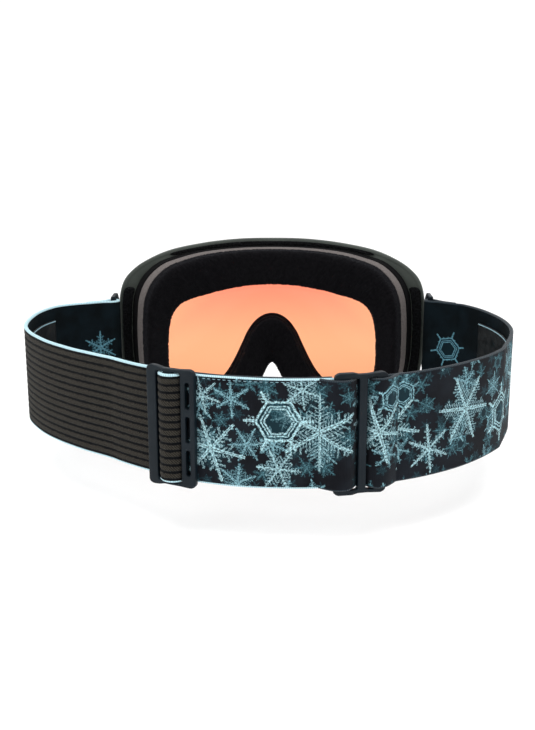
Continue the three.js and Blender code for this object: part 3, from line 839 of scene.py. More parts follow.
def slot_cutter(x, z, width, length, radius):
    """A rounded block that stands through the frame's top or bottom wall."""
    y = WRAP_Y + math.sqrt(radius ** 2 - x ** 2)
    corner = width * 0.35
    shape = rounded([(x - width / 2, y - length / 2, corner), (x + width / 2, y - length / 2, corner),
                     (x + width / 2, y + length / 2, corner), (x - width / 2, y + length / 2, corner)], 5)
    turn = -math.asin(x / radius)
    centre = np.array((x, y))
    spin = np.array(((math.cos(turn), -math.sin(turn)), (math.sin(turn), math.cos(turn))))
    shape = (shape - centre) @ spin.T + centre
    return shape, z - VENT_CUT / 2, z + VENT_CUT / 2


def prisms(name, shapes):
    """One mesh of upright prisms."""
    points, faces = [], []
    for shape, low, high in shapes:
        start, count = len(points), len(shape)
        points += [(x, y, low) for x, y in shape] + [(x, y, high) for x, y in shape]
        faces += [tuple(start + (i, (i + 1) % count, count + (i + 1) % count, count + i)[k] for k in range(4))
                  for i in range(count)]
        faces += [tuple(range(start + count - 1, start - 1, -1)),
                  tuple(range(start + count, start + 2 * count))]
    return make_mesh(name, points, faces, OLIVE)


def hinge_lugs():
    """The two pairs of lugs that hold the side arms' pins."""
    shapes = []
    for side in (-1, 1):
        wall_x = side * LUG_WALL_X
        arc = [(side * HINGE_X + side * LUG_R * math.cos(t), HINGE_Y + LUG_R * math.sin(t))
               for t in np.linspace(-math.pi / 2, math.pi / 2, 17)]
        shape = [(wall_x, HINGE_Y - 5.5), (side * (HINGE_X - 2.6), HINGE_Y - LUG_R)] + arc
        shape += [(side * (HINGE_X - 2.6), HINGE_Y + LUG_R), (wall_x, HINGE_Y + 5.5)]
        shape = np.array(shape if side > 0 else shape[::-1])
        shapes += [(shape, LUG_LOW, LUG_HIGH), (shape, -LUG_HIGH, -LUG_LOW)]
    return shapes


def make_frame():
    groove = [(0, 151.2, 0.3), (0.55, 151.8, 0.3), (0.55, 153.6, 0.3), (0, 154.2, 0.3)]
    section = [(0, FLANGE_R - 0.2, 1.0)] + groove + [
        (0, FRAME_FRONT_R, 1.0), (WALL, FRAME_FRONT_R, 0.9), (WALL, LEDGE_R + LEDGE_THICK, 0),
        (LEDGE_WIDTH, LEDGE_R + LEDGE_THICK, 0.5), (LEDGE_WIDTH, LEDGE_R, 0.5), (WALL, LEDGE_R, 0.6),
        (WALL, FLANGE_R + FLANGE_THICK, 1.0), (ACROSS, FLANGE_R + FLANGE_THICK, 0.9),
        (ACROSS, FLANGE_R, 0.9), (RIM - 0.4, FLANGE_R, 0.4), (RIM - 1.2, FLANGE_R - 0.2, 0.3)]
    shell = swept_ring("frame_shell_moulding", dense(rounded(section), 4.0), across_frame,
                       OLIVE, slope)
    fix_normals(shell)
    middle = (FLANGE_R + LEDGE_R + LEDGE_THICK) / 2
    slots = [slot_cutter(step * VENT_PITCH, VENT_Z, VENT_WIDTH, VENT_LENGTH, middle)
             for step in range(-VENTS_EACH_SIDE, VENTS_EACH_SIDE + 1)]
    slots += [slot_cutter(x, LOW_VENT_Z, LOW_VENT_WIDTH, LOW_VENT_LENGTH, middle) for x in LOW_VENT_X]
    cut(shell, prisms("slots", slots))
    foot = np.array([(-120, -60), (120, -60), (120, 100), (-120, 100)], float)
    cut(shell, prisms("foot", [(foot, FOOT_Z - 10, FOOT_Z)]))
    shade_smooth(shell)
    finish_piece(shell, "frame", "frame_shell")
    lugs = prisms("hinge_lugs", hinge_lugs())
    bevel(lugs, 0.5)
    holes = []
    for side in (-1, 1):
        ring = [(side * HINGE_X + PIN_HOLE_R * math.cos(t), HINGE_Y + PIN_HOLE_R * math.sin(t))
                for t in np.linspace(0, 2 * math.pi, 32, endpoint=False)]
        holes.append((np.array(ring), -20, 20))
    cut(lugs, prisms("pin_holes", holes))
    shade_smooth(lugs)
    finish_piece(lugs, "frame", None)


def bevel(piece, width, segments=3, angle=35):
    modifier = piece.modifiers.new("bevel", "BEVEL")
    modifier.width = width * MM
    modifier.segments = segments
    modifier.limit_method = "ANGLE"
    modifier.angle_limit = math.radians(angle)
    modifier.harden_normals = False
    apply_modifiers(piece)


make_frame()


# ------------------------------------------------------------------ foams
def narrow(points):
    """The foam gets narrower from the frame towards the face."""
    radius = np.hypot(points[..., 0], points[..., 1] - WRAP_Y)
    share = (FOAM_REAR_R - radius) / FOAM_DEPTH
    out = points.copy()
    out[..., 0] *= 1 - FOAM_NARROWING * share
    out[..., 2] *= 1 - FOAM_LOWERING * share
    return out


FOAM_PER = 26
foam_edge_fine = outline(FOAM_HALF, FOAM_PER)
eye_edge_fine = outline(EYE_HALF, FOAM_PER)


def across_foam(a):
    share = a / FOAM_ACROSS
    return foam_edge_fine * (1 - share) + eye_edge_fine * share


def make_face_foam():
    radius = FOAM_REAR_R
    looks = {"face_foam_base": (BLACK_FOAM, "black_foam", 0.7, 0.05),
             "face_foam_middle": (GREY_FOAM, "grey_foam", 1.0, 0.05),
             "face_foam_fleece": (FLEECE, "fleece", 2.6, 0.3)}
    for seed, (node, thick) in enumerate(FOAM_LAYERS):
        material, slot, corner, rough = looks[node]
        front, back = radius, radius - thick
        front_corner = min(corner, 0.8)
        section = [(0, front, front_corner), (0, back, corner),
                   (FOAM_ACROSS, back, corner), (FOAM_ACROSS, front, front_corner)]
        profile = dense(rounded(section, 6), 0.9)
        piece = swept_ring(node + "_pad", profile, across_foam, [material, FLEECE], narrow)
        lined = (profile[:, 0] > 0.2 * FOAM_ACROSS).astype(np.int32)
        piece.data.polygons.foreach_set("material_index", np.tile(lined, len(foam_edge_fine)))
        fix_normals(piece)
        roughen(piece, rough, seed + 1)
        finish_piece(piece, "frame", node)
        radius = back - GAP


make_face_foam()


def strip_range(x_low, x_high, z_low, z_high):
    """The stretch of the outline that lies in this box, as a run of indices."""
    inside = ((frame_edge_fine[:, 0] > x_low) & (frame_edge_fine[:, 0] < x_high)
              & (frame_edge_fine[:, 1] > z_low) & (frame_edge_fine[:, 1] < z_high))
    start = int(np.flatnonzero(inside & ~np.roll(inside, 1))[0])
    count = int(inside.sum())
    return (start + np.arange(count)) % len(inside)


frame_edge_fine = outline(FRAME_HALF, FOAM_PER)
frame_in_fine = inward(frame_edge_fine)


def make_strip(node, ending, limits, section, across, seed, taper):
    """A foam strip along part of an outline, with rounded ends."""
    run = strip_range(*limits)
    columns = []
    middle = section.mean(0)
    count = len(run)
    ends = np.minimum(np.arange(count), np.arange(count)[::-1]) / taper
    squeeze = np.sqrt(np.clip(1 - (1 - np.clip(ends, 0, 1)) ** 2, 0.02, 1))
    for a, radius in section:
        here = np.stack([across(middle[0] + (a - middle[0]) * s)[i] for s, i in zip(squeeze, run)])
        depth = middle[1] + (radius - middle[1]) * squeeze
        y = WRAP_Y + np.sqrt(depth ** 2 - here[:, 0] ** 2)
        columns.append(np.stack([here[:, 0], y, here[:, 1]], 1))
    points = slope(np.stack(columns, 1))
    rows, width = points.shape[:2]
    piece = make_mesh(f"{node}_{ending}", points.reshape(-1, 3), tube(rows, width), VENT_FOAM)
    fix_normals(piece)
    roughen(piece, STRIP_ROUGH, seed)
    finish_piece(piece, "frame", node)


def across_rear(a):
    """From the frame's rim (0) to the face foam (1), on the rear face."""
    outer = frame_edge_fine + frame_in_fine * 2.1
    inner = foam_edge_fine - inward(foam_edge_fine) * 0.3
    return outer * (1 - a) + inner * a


def make_vent_foam():
    low, high = FOAM_REAR_R - 1.9, FOAM_REAR_R
    section = dense(rounded([(0, high, 0.05), (0, low, 0.12), (1, low, 0.12), (1, high, 0.05)], 3), 0.6)
    ranges = {"top": (-62, 62, 40, 60), "left": (-92, -70, -26, 32), "right": (70, 92, -26, 32),
              "bottom_left": (-70, -28, -60, -40), "bottom_right": (28, 70, -60, -40)}
    for seed, (word, limits) in enumerate(ranges.items()):
        make_strip(f"vent_foam_{word}", "strip", limits, section, across_rear, 20 + seed, 6)


make_vent_foam()


def across_inside(a):
    return frame_edge_fine + frame_in_fine * a


def make_screens():
    near, far = WALL + GAP, WALL + GAP + 1.6
    low, high = FLANGE_R + FLANGE_THICK + GAP, LEDGE_R - GAP
    section = dense(rounded(box_loop(near, far, low, high, 0.4), 2), 1.5)
    ranges = {"top": (-64, 64, 40, 60), "bottom_left": (-71, -28, -60, -40),
              "bottom_right": (28, 71, -60, -40)}
    for seed, (word, limits) in enumerate(ranges.items()):
        make_strip(f"vent_screen_{word}", "foam", limits, section, across_inside, 30 + seed, 3)


make_screens()

# ------------------------------------------------------------------ lenses
LENS_INSET = WALL + 0.4
INNER_LENS_R = LEDGE_R + LEDGE_THICK + GAP
LENS_CENTRE = np.array((0.0, 25.0))
LENS_FIRST_RING, LENS_LAST_RING, LENS_RINGS = 0.02, 0.97, 26
INNER_LENS_THICK, OUTER_LENS_THICK = 1.2, 2.0
GASKET_THICK, GASKET_WIDTH = 1.4, 7.0
GASKET_R = INNER_LENS_R + INNER_LENS_THICK + GAP
OUTER_LENS_R = GASKET_R + GASKET_THICK + GAP


def make_lens(name, radius, thick, material, node, edge_round=0.45):
    """A curved plate: rings of points from its middle out to its edge, on both faces."""
    edge = frame_edge + frame_in * LENS_INSET
    edge_in = inward(edge)
    turns = np.linspace(0, math.pi / 2, 4)
    points = []
    for face, sign in ((radius, 1), (radius + thick, -1)):
        flat = [wrap(LENS_CENTRE + (edge - LENS_CENTRE) * share, face)
                for share in np.linspace(LENS_FIRST_RING, LENS_LAST_RING, LENS_RINGS)]
        corner = [wrap(edge + edge_in * edge_round * (1 - math.sin(t)),
                       face + sign * edge_round * (1 - math.cos(t))) for t in turns]
        points.append(flat + corner)
    columns = points[0] + points[1][::-1]
    stack = slope(np.stack(columns, 0))
    rows, width = stack.shape[:2]
    piece = make_mesh(name, stack.reshape(-1, 3), tube(rows, width), material)
    fix_normals(piece)
    finish_piece(piece, "frame", node)


make_lens("inner_lens_pane", INNER_LENS_R, INNER_LENS_THICK, INNER_TINT, "inner_lens",
          0.25)
make_lens("outer_lens_pane", OUTER_LENS_R, OUTER_LENS_THICK, OUTER_TINT, "outer_lens")


def across_gasket(a):
    return frame_edge + frame_in * (LENS_INSET + a)


gasket_section = dense(rounded(box_loop(0, GASKET_WIDTH, GASKET_R, GASKET_R + GASKET_THICK, 0.3), 2), 1.5)
gasket = swept_ring("lens_gasket_foam", gasket_section, across_gasket, VENT_FOAM, slope)
fix_normals(gasket)
finish_piece(gasket, "frame", "lens_gasket")


# ------------------------------------------------------------------ side arms and pins
def plate_from_curves(name, loops, half_depth, edge_round, material, steps=3):
    """A flat plate in XY from closed loops of points (later loops are holes), with rounded edges."""
    curve = bpy.data.curves.new(name, "CURVE")
    curve.dimensions = "2D"
    curve.fill_mode = "BOTH"
    curve.extrude = (half_depth - edge_round) * MM
    curve.bevel_depth = edge_round * MM
    curve.bevel_resolution = steps
    curve.offset = -edge_round * MM
    for loop in loops:
        spline = curve.splines.new("POLY")
        spline.points.add(len(loop) - 1)
        for point, (x, y) in zip(spline.points, loop):
            point.co = (x * MM, y * MM, 0, 1)
        spline.use_cyclic_u = True
    holder = bpy.data.objects.new(name, curve)
    bpy.context.scene.collection.objects.link(holder)
    graph = bpy.context.evaluated_depsgraph_get()
    mesh = bpy.data.meshes.new_from_object(holder.evaluated_get(graph))
    bpy.data.objects.remove(holder)
    mesh.materials.clear()
    mesh.materials.append(material)
    with edited(mesh) as work:
        bmesh.ops.remove_doubles(work, verts=work.verts, dist=1e-6)
        bmesh.ops.recalc_face_normals(work, faces=work.faces)
    piece = bpy.data.objects.new(name, mesh)
    bpy.context.scene.collection.objects.link(piece)
    return piece


def reshape_mesh(piece, move):
    """Moves a flat plate's points, given and returned in millimetres, into the row frame."""
    mesh = piece.data
    place = np.zeros(len(mesh.vertices) * 3)
    mesh.vertices.foreach_get("co", place)
    moved = row(move(place.reshape(-1, 3) / MM))
    mesh.vertices.foreach_set("co", moved.ravel())
    mesh.update()
    shade_smooth(piece)


def lathe(name, profile, centre, material, sides=40):
    """A turned piece on an upright axis, from (radius, z) points from one end of the axis to the other."""
    turns = np.linspace(0, 2 * math.pi, sides, endpoint=False)
    points = [[(centre[0] + r * math.cos(t), centre[1] + r * math.sin(t), z) for t in turns]
              for r, z in profile[1:-1]]
    points = np.array(points).reshape(-1, 3)
    rows = len(profile) - 2
    faces = [tuple(f) for f in grid(rows, sides, False, True)]
    low, high = len(points), len(points) + 1
    points = np.vstack([points, [(*centre, profile[0][1]), (*centre, profile[-1][1])]])
    faces += [(low, (i + 1) % sides, i) for i in range(sides)]
    top = (rows - 1) * sides
    faces += [(high, top + i, top + (i + 1) % sides) for i in range(sides)]
    piece = make_mesh(name, points, faces, material)
    fix_normals(piece)
    shade_smooth(piece)
    return piece


def mirrored(upper):
    """A turned profile from the (radius, z) points of its upper half."""
    return [(r, -z) for r, z in upper[::-1]] + upper


ARM_HALF = 27.2
ARM_WINDOW_HALF = 25.6
ARM_THICK = 2.4
ARM_REAR_Y = -7.4
BARREL_HALF, BARREL_R, BARREL_WAIST = 8.6, 3.5, 2.9
BAR_HALF, BAR_TIP_R = 26.6, 1.2
PIN_FOOT_Z, PIN_R = -13.5, 1.5


def arm_profile():
    """The arm in (Y, Z): a plate that widens from its hinge to the ends of the strap bar."""
    window = ARM_WINDOW_HALF + 0.3
    upper = [(HINGE_Y - 2, BARREL_HALF, 0.4), (23.5, BARREL_HALF, 3), (13, 21, 8), (5, ARM_HALF, 3),
             (ARM_REAR_Y, ARM_HALF, 1), (ARM_REAR_Y, window, 1), (-3, window, 0.5), (1.8, window, 2.2)]
    lower = [(y, -z, r) for y, z, r in upper[::-1]]
    return rounded(upper + lower, 6)


def make_arm(side, word):
    plate = plate_from_curves(f"side_arm_{word}_plate", [arm_profile()], ARM_THICK / 2, 0.55, SLATE)
    rib = [(25, 2.6, 1.0), (9, 6.5, 1.5), (6.4, 20, 1.0), (4.6, 20, 0.4), (6, 0, 1),
           (4.6, -20, 0.4), (6.4, -20, 1.0), (9, -6.5, 1.5), (25, -2.6, 1.0)]
    raised = plate_from_curves(f"side_arm_{word}_rib", [rounded(rib, 4)], 0.7, 0.4, SLATE)
    reshape_mesh(plate, lambda p: np.stack([side * BAR_X + p[:, 2], p[:, 0], p[:, 1]], 1))
    reshape_mesh(raised, lambda p: np.stack(
        [side * (BAR_X + ARM_THICK / 2 + 0.2) + p[:, 2], p[:, 0], p[:, 1]], 1))
    bar_end = [(BAR_R, BAR_HALF - 0.4), (BAR_TIP_R, BAR_HALF), (0, BAR_HALF)]
    bar = lathe(f"side_arm_{word}_bar", mirrored(bar_end), (side * BAR_X, BAR_Y), SLATE)
    barrel = lathe(f"side_arm_{word}_barrel",
                   mirrored([(BARREL_R - 0.25, BARREL_WAIST), (BARREL_R, BARREL_WAIST + 0.3),
                             (BARREL_R, BARREL_HALF - 0.5), (BARREL_R - 0.5, BARREL_HALF), (0, BARREL_HALF)]),
                   (side * HINGE_X, HINGE_Y), SLATE)
    for part in (plate, raised, bar, barrel):
        finish_piece(part, f"arm_{word}", f"side_arm_{word}")
    shank = [(0, PIN_FOOT_Z), (PIN_R, PIN_FOOT_Z)]
    head = [(PIN_R, 13.0), (2.6, 13.1), (2.9, 13.5), (2.5, 14.0), (1.2, 14.3), (0, 14.4)]
    pin = lathe(f"hinge_pin_{word}_turned", shank + head, (side * HINGE_X, HINGE_Y), STEEL)
    finish_piece(pin, "frame", f"hinge_pin_{word}")


for side, word in ((-1, "left"), (1, "right")):
    make_arm(side, word)


# ------------------------------------------------------------------ strap paths, seen from above
def back_arc(radius, start, end, step=1.0):
    count = max(2, int(abs(math.radians(end - start)) * radius / step) + 1)
    angles = np.radians(np.linspace(start, end, count))
    return np.stack([AXIS_X + radius * np.sin(angles), AXIS_Y - radius * np.cos(angles)], 1)


def even(path, step=1.0):
    """The path with points the same distance apart."""
    lengths = marks_along(path)
    marks = np.linspace(0, lengths[-1], max(2, int(round(lengths[-1] / step)) + 1))
    return np.stack([np.interp(marks, lengths, path[:, k]) for k in range(2)], 1)


def path_normals(path):
    along = np.gradient(path, axis=0)
    along /= np.linalg.norm(along, axis=1, keepdims=True)
    return np.stack([-along[:, 1], along[:, 0]], 1)


def arc_point(radius, angle):
    return tuple(back_arc(radius, angle, angle + 0.01)[0])


LEFT_RUN = [(-110.4, -13.6), (-120.8, -21), (-127.4, -35), (-129.4, -54), (-126.5, -75), (-113.5, -99),
            (-96, -118), arc_point(INNER_LAYER_R, LEFT_ARC_START)]
RIGHT_RUN = [(107.5, -17), (115.6, -30), (121.4, -48), (123.3, -69), (120.5, -88),
             arc_point(OUTER_LAYER_R, RIGHT_ARC_START)]
PER_DEGREE = math.radians(1) * (OUTER_LAYER_R + STRAP_THICK / 2)


LOOP_START = 1.45  # radians from the free run to where the loop leaves the bar


def hairpin(side, run):
    """The strap's own path from its sewn end, round the arm's bar, to where the free run starts."""
    bar = np.array((side * BAR_X, BAR_Y))
    out = np.array(run[0]) - bar
    reach = np.linalg.norm(out)
    out /= reach
    across = np.array((out[1], -out[0])) * side
    turn_r = BAR_R + GAP + STRAP_THICK / 2
    near = STRAP_THICK / 2 + 0.06

    def spread(d):
        """Distance of a layer's middle from the sewn seam, d along from the bar."""
        return near + (turn_r - near) * max(0, 1 - (d - 2) / 7) ** 2

    steps = (2.4, 3.4, 5, 7, 9, 11, 13)
    tail = [bar + out * d - across * spread(d) for d in (15.5,) + steps[::-1]]
    loop = [bar + turn_r * (out * math.cos(t) - across * math.sin(t))
            for t in np.linspace(LOOP_START, 2 * math.pi - LOOP_START, 17)]
    back = [bar + out * d + across * (spread(d) - near * min(1, d / reach) ** 4)
            for d in steps + (reach - 2,)]
    return [tuple(p) for p in tail + loop + back]


def strap_path(side, run, arc):
    free = catmull(hairpin(side, run) + run, 12, closed=False)
    return even(np.vstack([free, arc[1:]]), 1.0)


# ------------------------------------------------------------------ strap pieces
def wave(along, seed, length=23.0, amount=0.25):
    """A slow seeded ripple along the strap."""
    draw = np.random.default_rng(seed)
    out = np.zeros_like(along)
    for k in range(3):
        out += np.sin(along * 2 * math.pi / (length * draw.uniform(0.6, 1.6)) + draw.uniform(0, 6.3)) / 3
    return out * amount


def web_section(across_step, bead, rib_pitch=None, rib_depth=0.0):
    """The webbing's section as (side offset, height) points: outer face, edge, inner face, edge."""
    thick = STRAP_THICK / 2
    flat_half = STRAP_HALF - bead
    z = np.arange(-flat_half, flat_half + across_step / 2, across_step)
    outer = np.full_like(z, -thick)
    if rib_pitch:
        phase = np.abs(((z / rib_pitch) % 1) - 0.5)
        outer += rib_depth * np.clip((phase - 0.3) / 0.1, 0, 1)
        outer -= RIB_CROWN * np.cos(np.clip(phase / 0.38, 0, 1) * math.pi / 2)
    turns = np.linspace(0, math.pi, 9)[1:-1]
    top = np.stack([-thick * 1.12 * np.cos(turns), flat_half + 0.1 + bead * np.sin(turns) * 0.95], 1)
    bottom = np.stack([thick * 1.12 * np.cos(turns), -flat_half - 0.1 - bead * np.sin(turns) * 0.95], 1)
    inner_z = np.linspace(flat_half, -flat_half, max(8, len(z) // 3))
    inner = np.full_like(inner_z, thick)
    section = np.vstack([np.stack([outer, z], 1), top, np.stack([inner, inner_z], 1), bottom])
    kinds = [0] * (len(z) - 1) + [2] * (len(top) + 1) + [1] * (len(inner_z) - 1) + [2] * (len(bottom) + 1)
    return section, kinds


def make_web(name, path, section, kinds, materials, seed, start_mark=0.0, ripple=0.25):
    """Webbing along a path. The outer face lies on the path's right-hand side (away from the head)."""
    normals = path_normals(path)
    lengths = start_mark + marks_along(path)
    count, width = len(path), len(section)
    side, height = section.T
    points = np.zeros((count, width, 3))
    points[:, :, :2] = path[:, None] + normals[:, None] * side[None, :, None]
    points[:, :, 2] = height * (1 + wave(lengths, seed, 31, ripple)[:, None] * 0.012)
    uv = np.zeros((count, width, 2))
    uv[:, :, 0] = lengths[:, None]
    uv[:, :, 1] = height[None, :]
    indices = list(kinds) * (count - 1) + [2, 2]
    piece = make_mesh(name, points.reshape(-1, 3), tube(count, width), materials, uv.reshape(-1, 2), indices)
    fix_normals(piece)
    return piece


def split_at(path, length):
    """The path's two parts, up to and from the point at that length along it."""
    lengths = marks_along(path)
    k = int(np.argmin(np.abs(lengths - length)))
    return path[:k + 1], path[k:], lengths[k]


def nearest_length(path, point):
    lengths = marks_along(path)
    return lengths[int(np.argmin(np.linalg.norm(path - np.array(point), axis=1)))]


plain_section, plain_kinds = web_section(0.9, 0.8)
rib_section, rib_kinds = web_section(0.28, 0.9, RIB_PITCH, 0.22)

left_arc = back_arc(INNER_LAYER_R, LEFT_ARC_START, SLIDER_LEFT_ANGLE - 0.5)
left_path = strap_path(-1, LEFT_RUN, left_arc)
ribbed = make_web("strap_left_webbing", left_path, rib_section, rib_kinds,
                  [RIBBED, INNER_WEB, BLUE_EDGE], 5)
row((0, -30, 0)).tolist()
row((0, -12, 0)).tolist()
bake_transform(ribbed)
note_piece(["strap_left", "strap_end_left"])

# A small plain tag sewn to the outside of the ribbed strap's bend.
TAG_LENGTH, TAG_LOW, TAG_HIGH = 6, -14.0, -7.0
bend = int(np.argmin(left_path[:, 0]))
tag_face = -(STRAP_THICK / 2 + 0.25)
tag_section = rounded([(tag_face, TAG_LOW, 0.1), (tag_face - 0.5, TAG_LOW, 0.2),
                       (tag_face - 0.5, TAG_HIGH, 0.2), (tag_face, TAG_HIGH, 0.1)], 3)
tag = make_web("strap_tag", left_path[bend - TAG_LENGTH // 2:bend + TAG_LENGTH // 2 + 1], tag_section,
               [0] * len(tag_section), [PALE_THREAD_AND_HIGHLIGHT], 4, ripple=0)
finish_piece(tag, "frame", None)

# The printed strap is laid out from the left slider to the right arm, so its outer face is outside.
right_arc = back_arc(OUTER_LAYER_R, RIGHT_ARC_START, SLIDER_LEFT_ANGLE)
right_path = strap_path(1, RIGHT_RUN, right_arc)[::-1]
seam = nearest_length(right_path, arc_point(OUTER_LAYER_R, SLIDER_RIGHT_ANGLE))
middle_path, side_path, seam = split_at(right_path, seam)
PRINTED_FACES = [PRINTED, INNER_WEB, DARK_EDGE]
printed_side = make_web("strap_right_webbing", side_path, plain_section, plain_kinds,
                        PRINTED_FACES, 6, start_mark=seam)
row((0, -36, 0)).tolist()
row((0, -14, 0)).tolist()
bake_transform(printed_side)
note_piece(["strap_right", "strap_end_right"])
printed_middle = make_web("strap_middle_webbing", middle_path, plain_section, plain_kinds,
                          [PRINTED, INNER_WEB, BLUE_EDGE], 6)
row((20, 0, 0)).tolist()
row((-30, 0, 0)).tolist()
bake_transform(printed_middle)
note_piece(None)

right_half_angle = SLIDER_WIDTH / 2 / PER_DEGREE
return_path = even(back_arc(INNER_LAYER_R, SLIDER_LEFT_ANGLE + 0.5, SLIDER_RIGHT_ANGLE - right_half_angle))
printed_return = make_web("strap_return_webbing", return_path, plain_section, plain_kinds,
                          PRINTED_FACES, 8)
row((0, 0, 0)).tolist()
row((28, 0, 0)).tolist()
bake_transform(printed_return)
note_piece("strap_return")


# ------------------------------------------------------------------ sliders
SLIDER_INNER_R = 120.3
SLIDER_DEPTH = 3.0
EDGE = SLIDER_WIDTH / 2
HOLE_HALF = STRAP_HALF + 0.5
SLOT_PITCH = 15.5


def bend_along(angle, radius, along, depth):
    """Positions along the back arc, in millimetres from an angle, at a radius plus a depth."""
    turn = np.radians(angle + along / PER_DEGREE)
    reach = radius + depth
    return AXIS_X + reach * np.sin(turn), AXIS_Y - reach * np.cos(turn)


def slice_along(piece, step=1.5):
    """Adds cuts across a flat plate so that it can bend."""
    with edited(piece.data) as work:
        for x in np.arange(-EDGE + step, EDGE, step):
            geometry = work.verts[:] + work.edges[:] + work.faces[:]
            bmesh.ops.bisect_plane(work, geom=geometry, plane_co=(x * MM, 0, 0), plane_no=(1, 0, 0))


def slider_outline(waves):
    """The slider's edge, from its lower left corner round, with a gently waved top and bottom."""
    top = [(x, z, 3.0) for x, z in waves]
    left = [(-EDGE, waves[0][1] - 1.2, 2.4)]
    right = [(EDGE, waves[-1][1] - 1.2, 2.4)]
    upper = left + top + right
    lower = [(x, -z, r) for x, z, r in upper[::-1]]
    return rounded(upper + lower, 6)


def hole(low, high, z_low, z_high, radius):
    return rounded([(low, z_low, radius), (high, z_low, radius),
                    (high, z_high, radius), (low, z_high, radius)], 6)


def make_slider(word, angle, wide_side, waves):
    narrow_gap = (-EDGE + NARROW_BAR, -EDGE + NARROW_BAR + BAR_GAP)
    wide_gap = (EDGE - WIDE_BAR - BAR_GAP, EDGE - WIDE_BAR)
    loops = [slider_outline(waves)]
    for low, high in (narrow_gap, wide_gap):
        low, high = (low, high) if wide_side > 0 else (-high, -low)
        loops.append(hole(low, high, -HOLE_HALF, HOLE_HALF, 1.2))
    slot_x = wide_side * (EDGE - WIDE_BAR / 2)
    loops += [hole(slot_x - 1, slot_x + 1, z - 6, z + 6, 0.98) for z in (-SLOT_PITCH, 0, SLOT_PITCH)]
    plate = plate_from_curves(f"slider_{word}_plate", loops, SLIDER_DEPTH / 2, 0.5, SLATE)
    slice_along(plate)

    def move(points):
        x, y = bend_along(angle, SLIDER_INNER_R + SLIDER_DEPTH / 2, points[:, 0], points[:, 2])
        return np.stack([x, y, points[:, 1]], 1)

    reshape_mesh(plate, move)
    finish_piece(plate, f"slider_{word}_body", f"slider_{word}")


make_slider("left", SLIDER_LEFT_ANGLE, 1, [(-10, 27.8), (-6.5, 27.6), (-3.6, 26.9), (4, 26.9), (9.8, 27.3)])
make_slider("right", SLIDER_RIGHT_ANGLE, -1, [(-9.8, 27.7), (-3.4, 27.7), (-1, 27.0), (3, 27.0), (9.8, 27.6)])


def make_patch(name, word, angle, rise, section, kinds, materials, mark, seed):
    """Webbing that weaves over a slider's bars. rise lists (along, height above the strap)."""
    along = np.arange(rise[0][0], rise[-1][0] + 0.2, 0.4)
    knots = catmull([(s, h) for s, h in rise], 10, closed=False)
    height = np.interp(along, knots[:, 0], knots[:, 1])
    x, y = bend_along(angle, OUTER_LAYER_R, along, height)
    path = np.stack([x, y], 1)
    piece = make_web(name, path, section, kinds, materials, seed, start_mark=mark, ripple=0.1)
    finish_piece(piece, f"slider_{word}_body", None)


WINDOW_RISE = [(-9.5, -1.2), (-8.2, -0.9), (-6.6, 0.4), (-4.8, 3.6), (-2.6, 5.2), (-0.8, 5.6), (1.0, 5.2),
               (3.2, 3.6), (5.0, 0.4), (6.6, -0.9), (8.0, -1.2)]
BAR_RISE = [(-20.5, -1.0), (-17.5, 0.1), (-14.5, 2.4), (-11.5, 4.4), (-8.5, 5.0), (-6.2, 4.8), (-4.0, 3.2),
            (-2.0, 0.5), (-1.0, -0.2), (0.8, -0.5), (2.6, -0.2), (3.6, 0.6), (5.2, 3.2), (7.2, 4.8),
            (9.3, 5.0), (12.0, 4.2), (15.0, 2.2), (18.0, 0.1), (21.0, -1.0)]
left_mark = float(marks_along(left_path)[-1])
make_patch("slider_left_patch", "left", SLIDER_LEFT_ANGLE, WINDOW_RISE, rib_section, rib_kinds,
           [RIBBED, INNER_WEB, BLUE_EDGE], left_mark - 9.5, 9)
make_patch("slider_right_patch", "right", SLIDER_RIGHT_ANGLE, BAR_RISE, plain_section, plain_kinds,
           [PRINTED, INNER_WEB, DARK_EDGE], float(seam) - 20.5, 10)


# ------------------------------------------------------------------ grip strips
def make_grip(word, run, first, last, steps, flip):
    """A soft strip on the strap's inner face, with a pale line along its top edge that is a painted highlight
    of that edge.
    """
    free = even(catmull(run, 12, closed=False), 1.0)
    total = len(free) - 1
    piece_path = free[int(total * first / steps):int(total * last / steps) + 1]
    if flip:
        piece_path = piece_path[::-1]
    half, thick = 17.5, 0.4
    inside = STRAP_THICK / 2 + GAP + thick
    section = rounded([(inside - thick, -half, 0.15), (inside + thick, -half, 0.3),
                       (inside + thick, half, 0.3), (inside - thick, half, 0.15)], 3)
    section = dense(section, 2.0)
    strip = make_web(f"grip_strip_{word}_pad", piece_path, section, [0] * len(section), [GRIP], 3, ripple=0)
    finish_piece(strip, "frame", f"grip_strip_{word}")
    # painted highlight: a thin pale strip standing for the light caught along the grip strip's top edge
    line = rounded([(inside + thick - 0.1, 16.5, 0.1), (inside + thick + 0.12, 16.5, 0.1),
                    (inside + thick + 0.12, 17.1, 0.1), (inside + thick - 0.1, 17.1, 0.1)], 2)
    edge = make_web(f"grip_strip_{word}_line", piece_path, line, [0] * len(line), [PALE_THREAD_AND_HIGHLIGHT], 3, ripple=0)
    finish_piece(edge, "frame", None)


make_grip("left", LEFT_RUN, 3, 14, 26, False)
make_grip("right", RIGHT_RUN, 3, 12, 18, True)


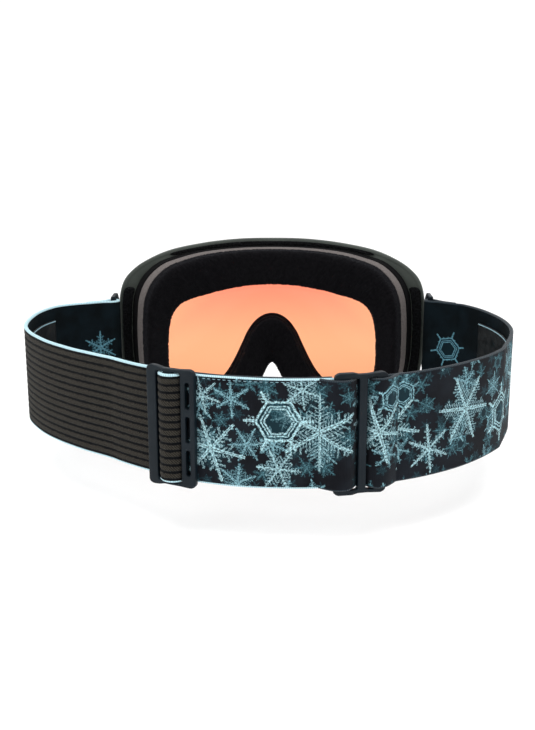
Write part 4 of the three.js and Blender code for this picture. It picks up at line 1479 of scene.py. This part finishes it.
# ------------------------------------------------------------------ stitches
def stitches(name, path, z, offset, material, length, gap, radius):
    """A row of short thread stitches along a path at a height, on one side of it."""
    normals = path_normals(path)
    lengths = marks_along(path)
    sides, rings = 8, 6
    turns = np.linspace(0, 2 * math.pi, sides, endpoint=False)
    points, faces = [], []
    for start in np.arange(0.5, lengths[-1] - length, length + gap):
        faces += tube(rings, sides, len(points))
        for share in np.linspace(0, 1, rings):
            at = start + length * share
            x, y = (np.interp(at, lengths, path[:, k]) for k in range(2))
            nx, ny = (np.interp(at, lengths, normals[:, k]) for k in range(2))
            lift = offset + math.copysign(0.18 * math.sin(math.pi * share), offset)
            thick = radius * (0.35 + 0.65 * math.sin(math.pi * min(max(share, 0.08), 0.92)))
            for t in turns:
                away = lift + thick * math.cos(t)
                points.append((x + nx * away, y + ny * away, z + thick * math.sin(t)))
    piece = make_mesh(name, np.array(points), faces, material)
    fix_normals(piece)
    return piece


outer_face = -(STRAP_THICK / 2 + 0.05)
between = middle_path[14:-16]
edge_stitches = stitches("middle_edge_stitches", between, 23.6, outer_face, PALE_THREAD_AND_HIGHLIGHT, 1.3, 1.0, 0.16)
row((20, 0, 0)).tolist()
row((-30, 0, 0)).tolist()
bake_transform(edge_stitches)


# ------------------------------------------------------------------ floor, backdrop and light
def make_stage():
    profile = [(-1.6, 0.0), (0.9, 0.0)]
    profile += [(0.9 + 0.5 * math.sin(t), 0.5 - 0.5 * math.cos(t)) for t in np.linspace(0.1, math.pi / 2, 14)]
    profile += [(1.4, 2.6)]
    points = [(x, y, z) for y, z in profile for x in (-3.0, 3.0)]
    mesh = bpy.data.meshes.new("studio_floor")
    mesh.from_pydata(points, [], [tuple(map(int, f)) for f in grid(len(profile), 2)])
    mesh.polygons.foreach_set("use_smooth", [True] * len(mesh.polygons))
    floor = bpy.data.objects.new("studio_floor", mesh)
    bpy.context.scene.collection.objects.link(floor)
    pale, _, _ = new_material("pale_floor", (0.97, 0.97, 0.97), 0.75)
    mesh.materials.append(pale)


def area_light(name, place, target, size, power):
    data = bpy.data.lights.new(name, "AREA")
    data.shape = "RECTANGLE"
    data.size, data.size_y = size
    data.energy = power
    light = bpy.data.objects.new(name, data)
    light.location = place
    light.rotation_euler = (Vector(target) - Vector(place)).to_track_quat("-Z", "Y").to_euler()
    bpy.context.scene.collection.objects.link(light)


make_stage()
area_light("top_soft", (0.0, -0.1, 1.5), (0, 0, 0.05), (1.6, 1.2), 16)
area_light("left_soft", (-1.1, -0.9, 0.9), (0, 0, 0.05), (0.8, 1.0), 7)
area_light("right_soft", (1.2, -0.7, 0.8), (0, 0, 0.05), (0.8, 1.0), 5)
world = bpy.data.worlds.new("studio")
world.use_nodes = True
world.node_tree.nodes["Background"].inputs["Color"].default_value = (1, 1, 1, 1)
world.node_tree.nodes["Background"].inputs["Strength"].default_value = 0.58
bpy.context.scene.world = world
bpy.context.scene.view_settings.view_transform = "Standard"
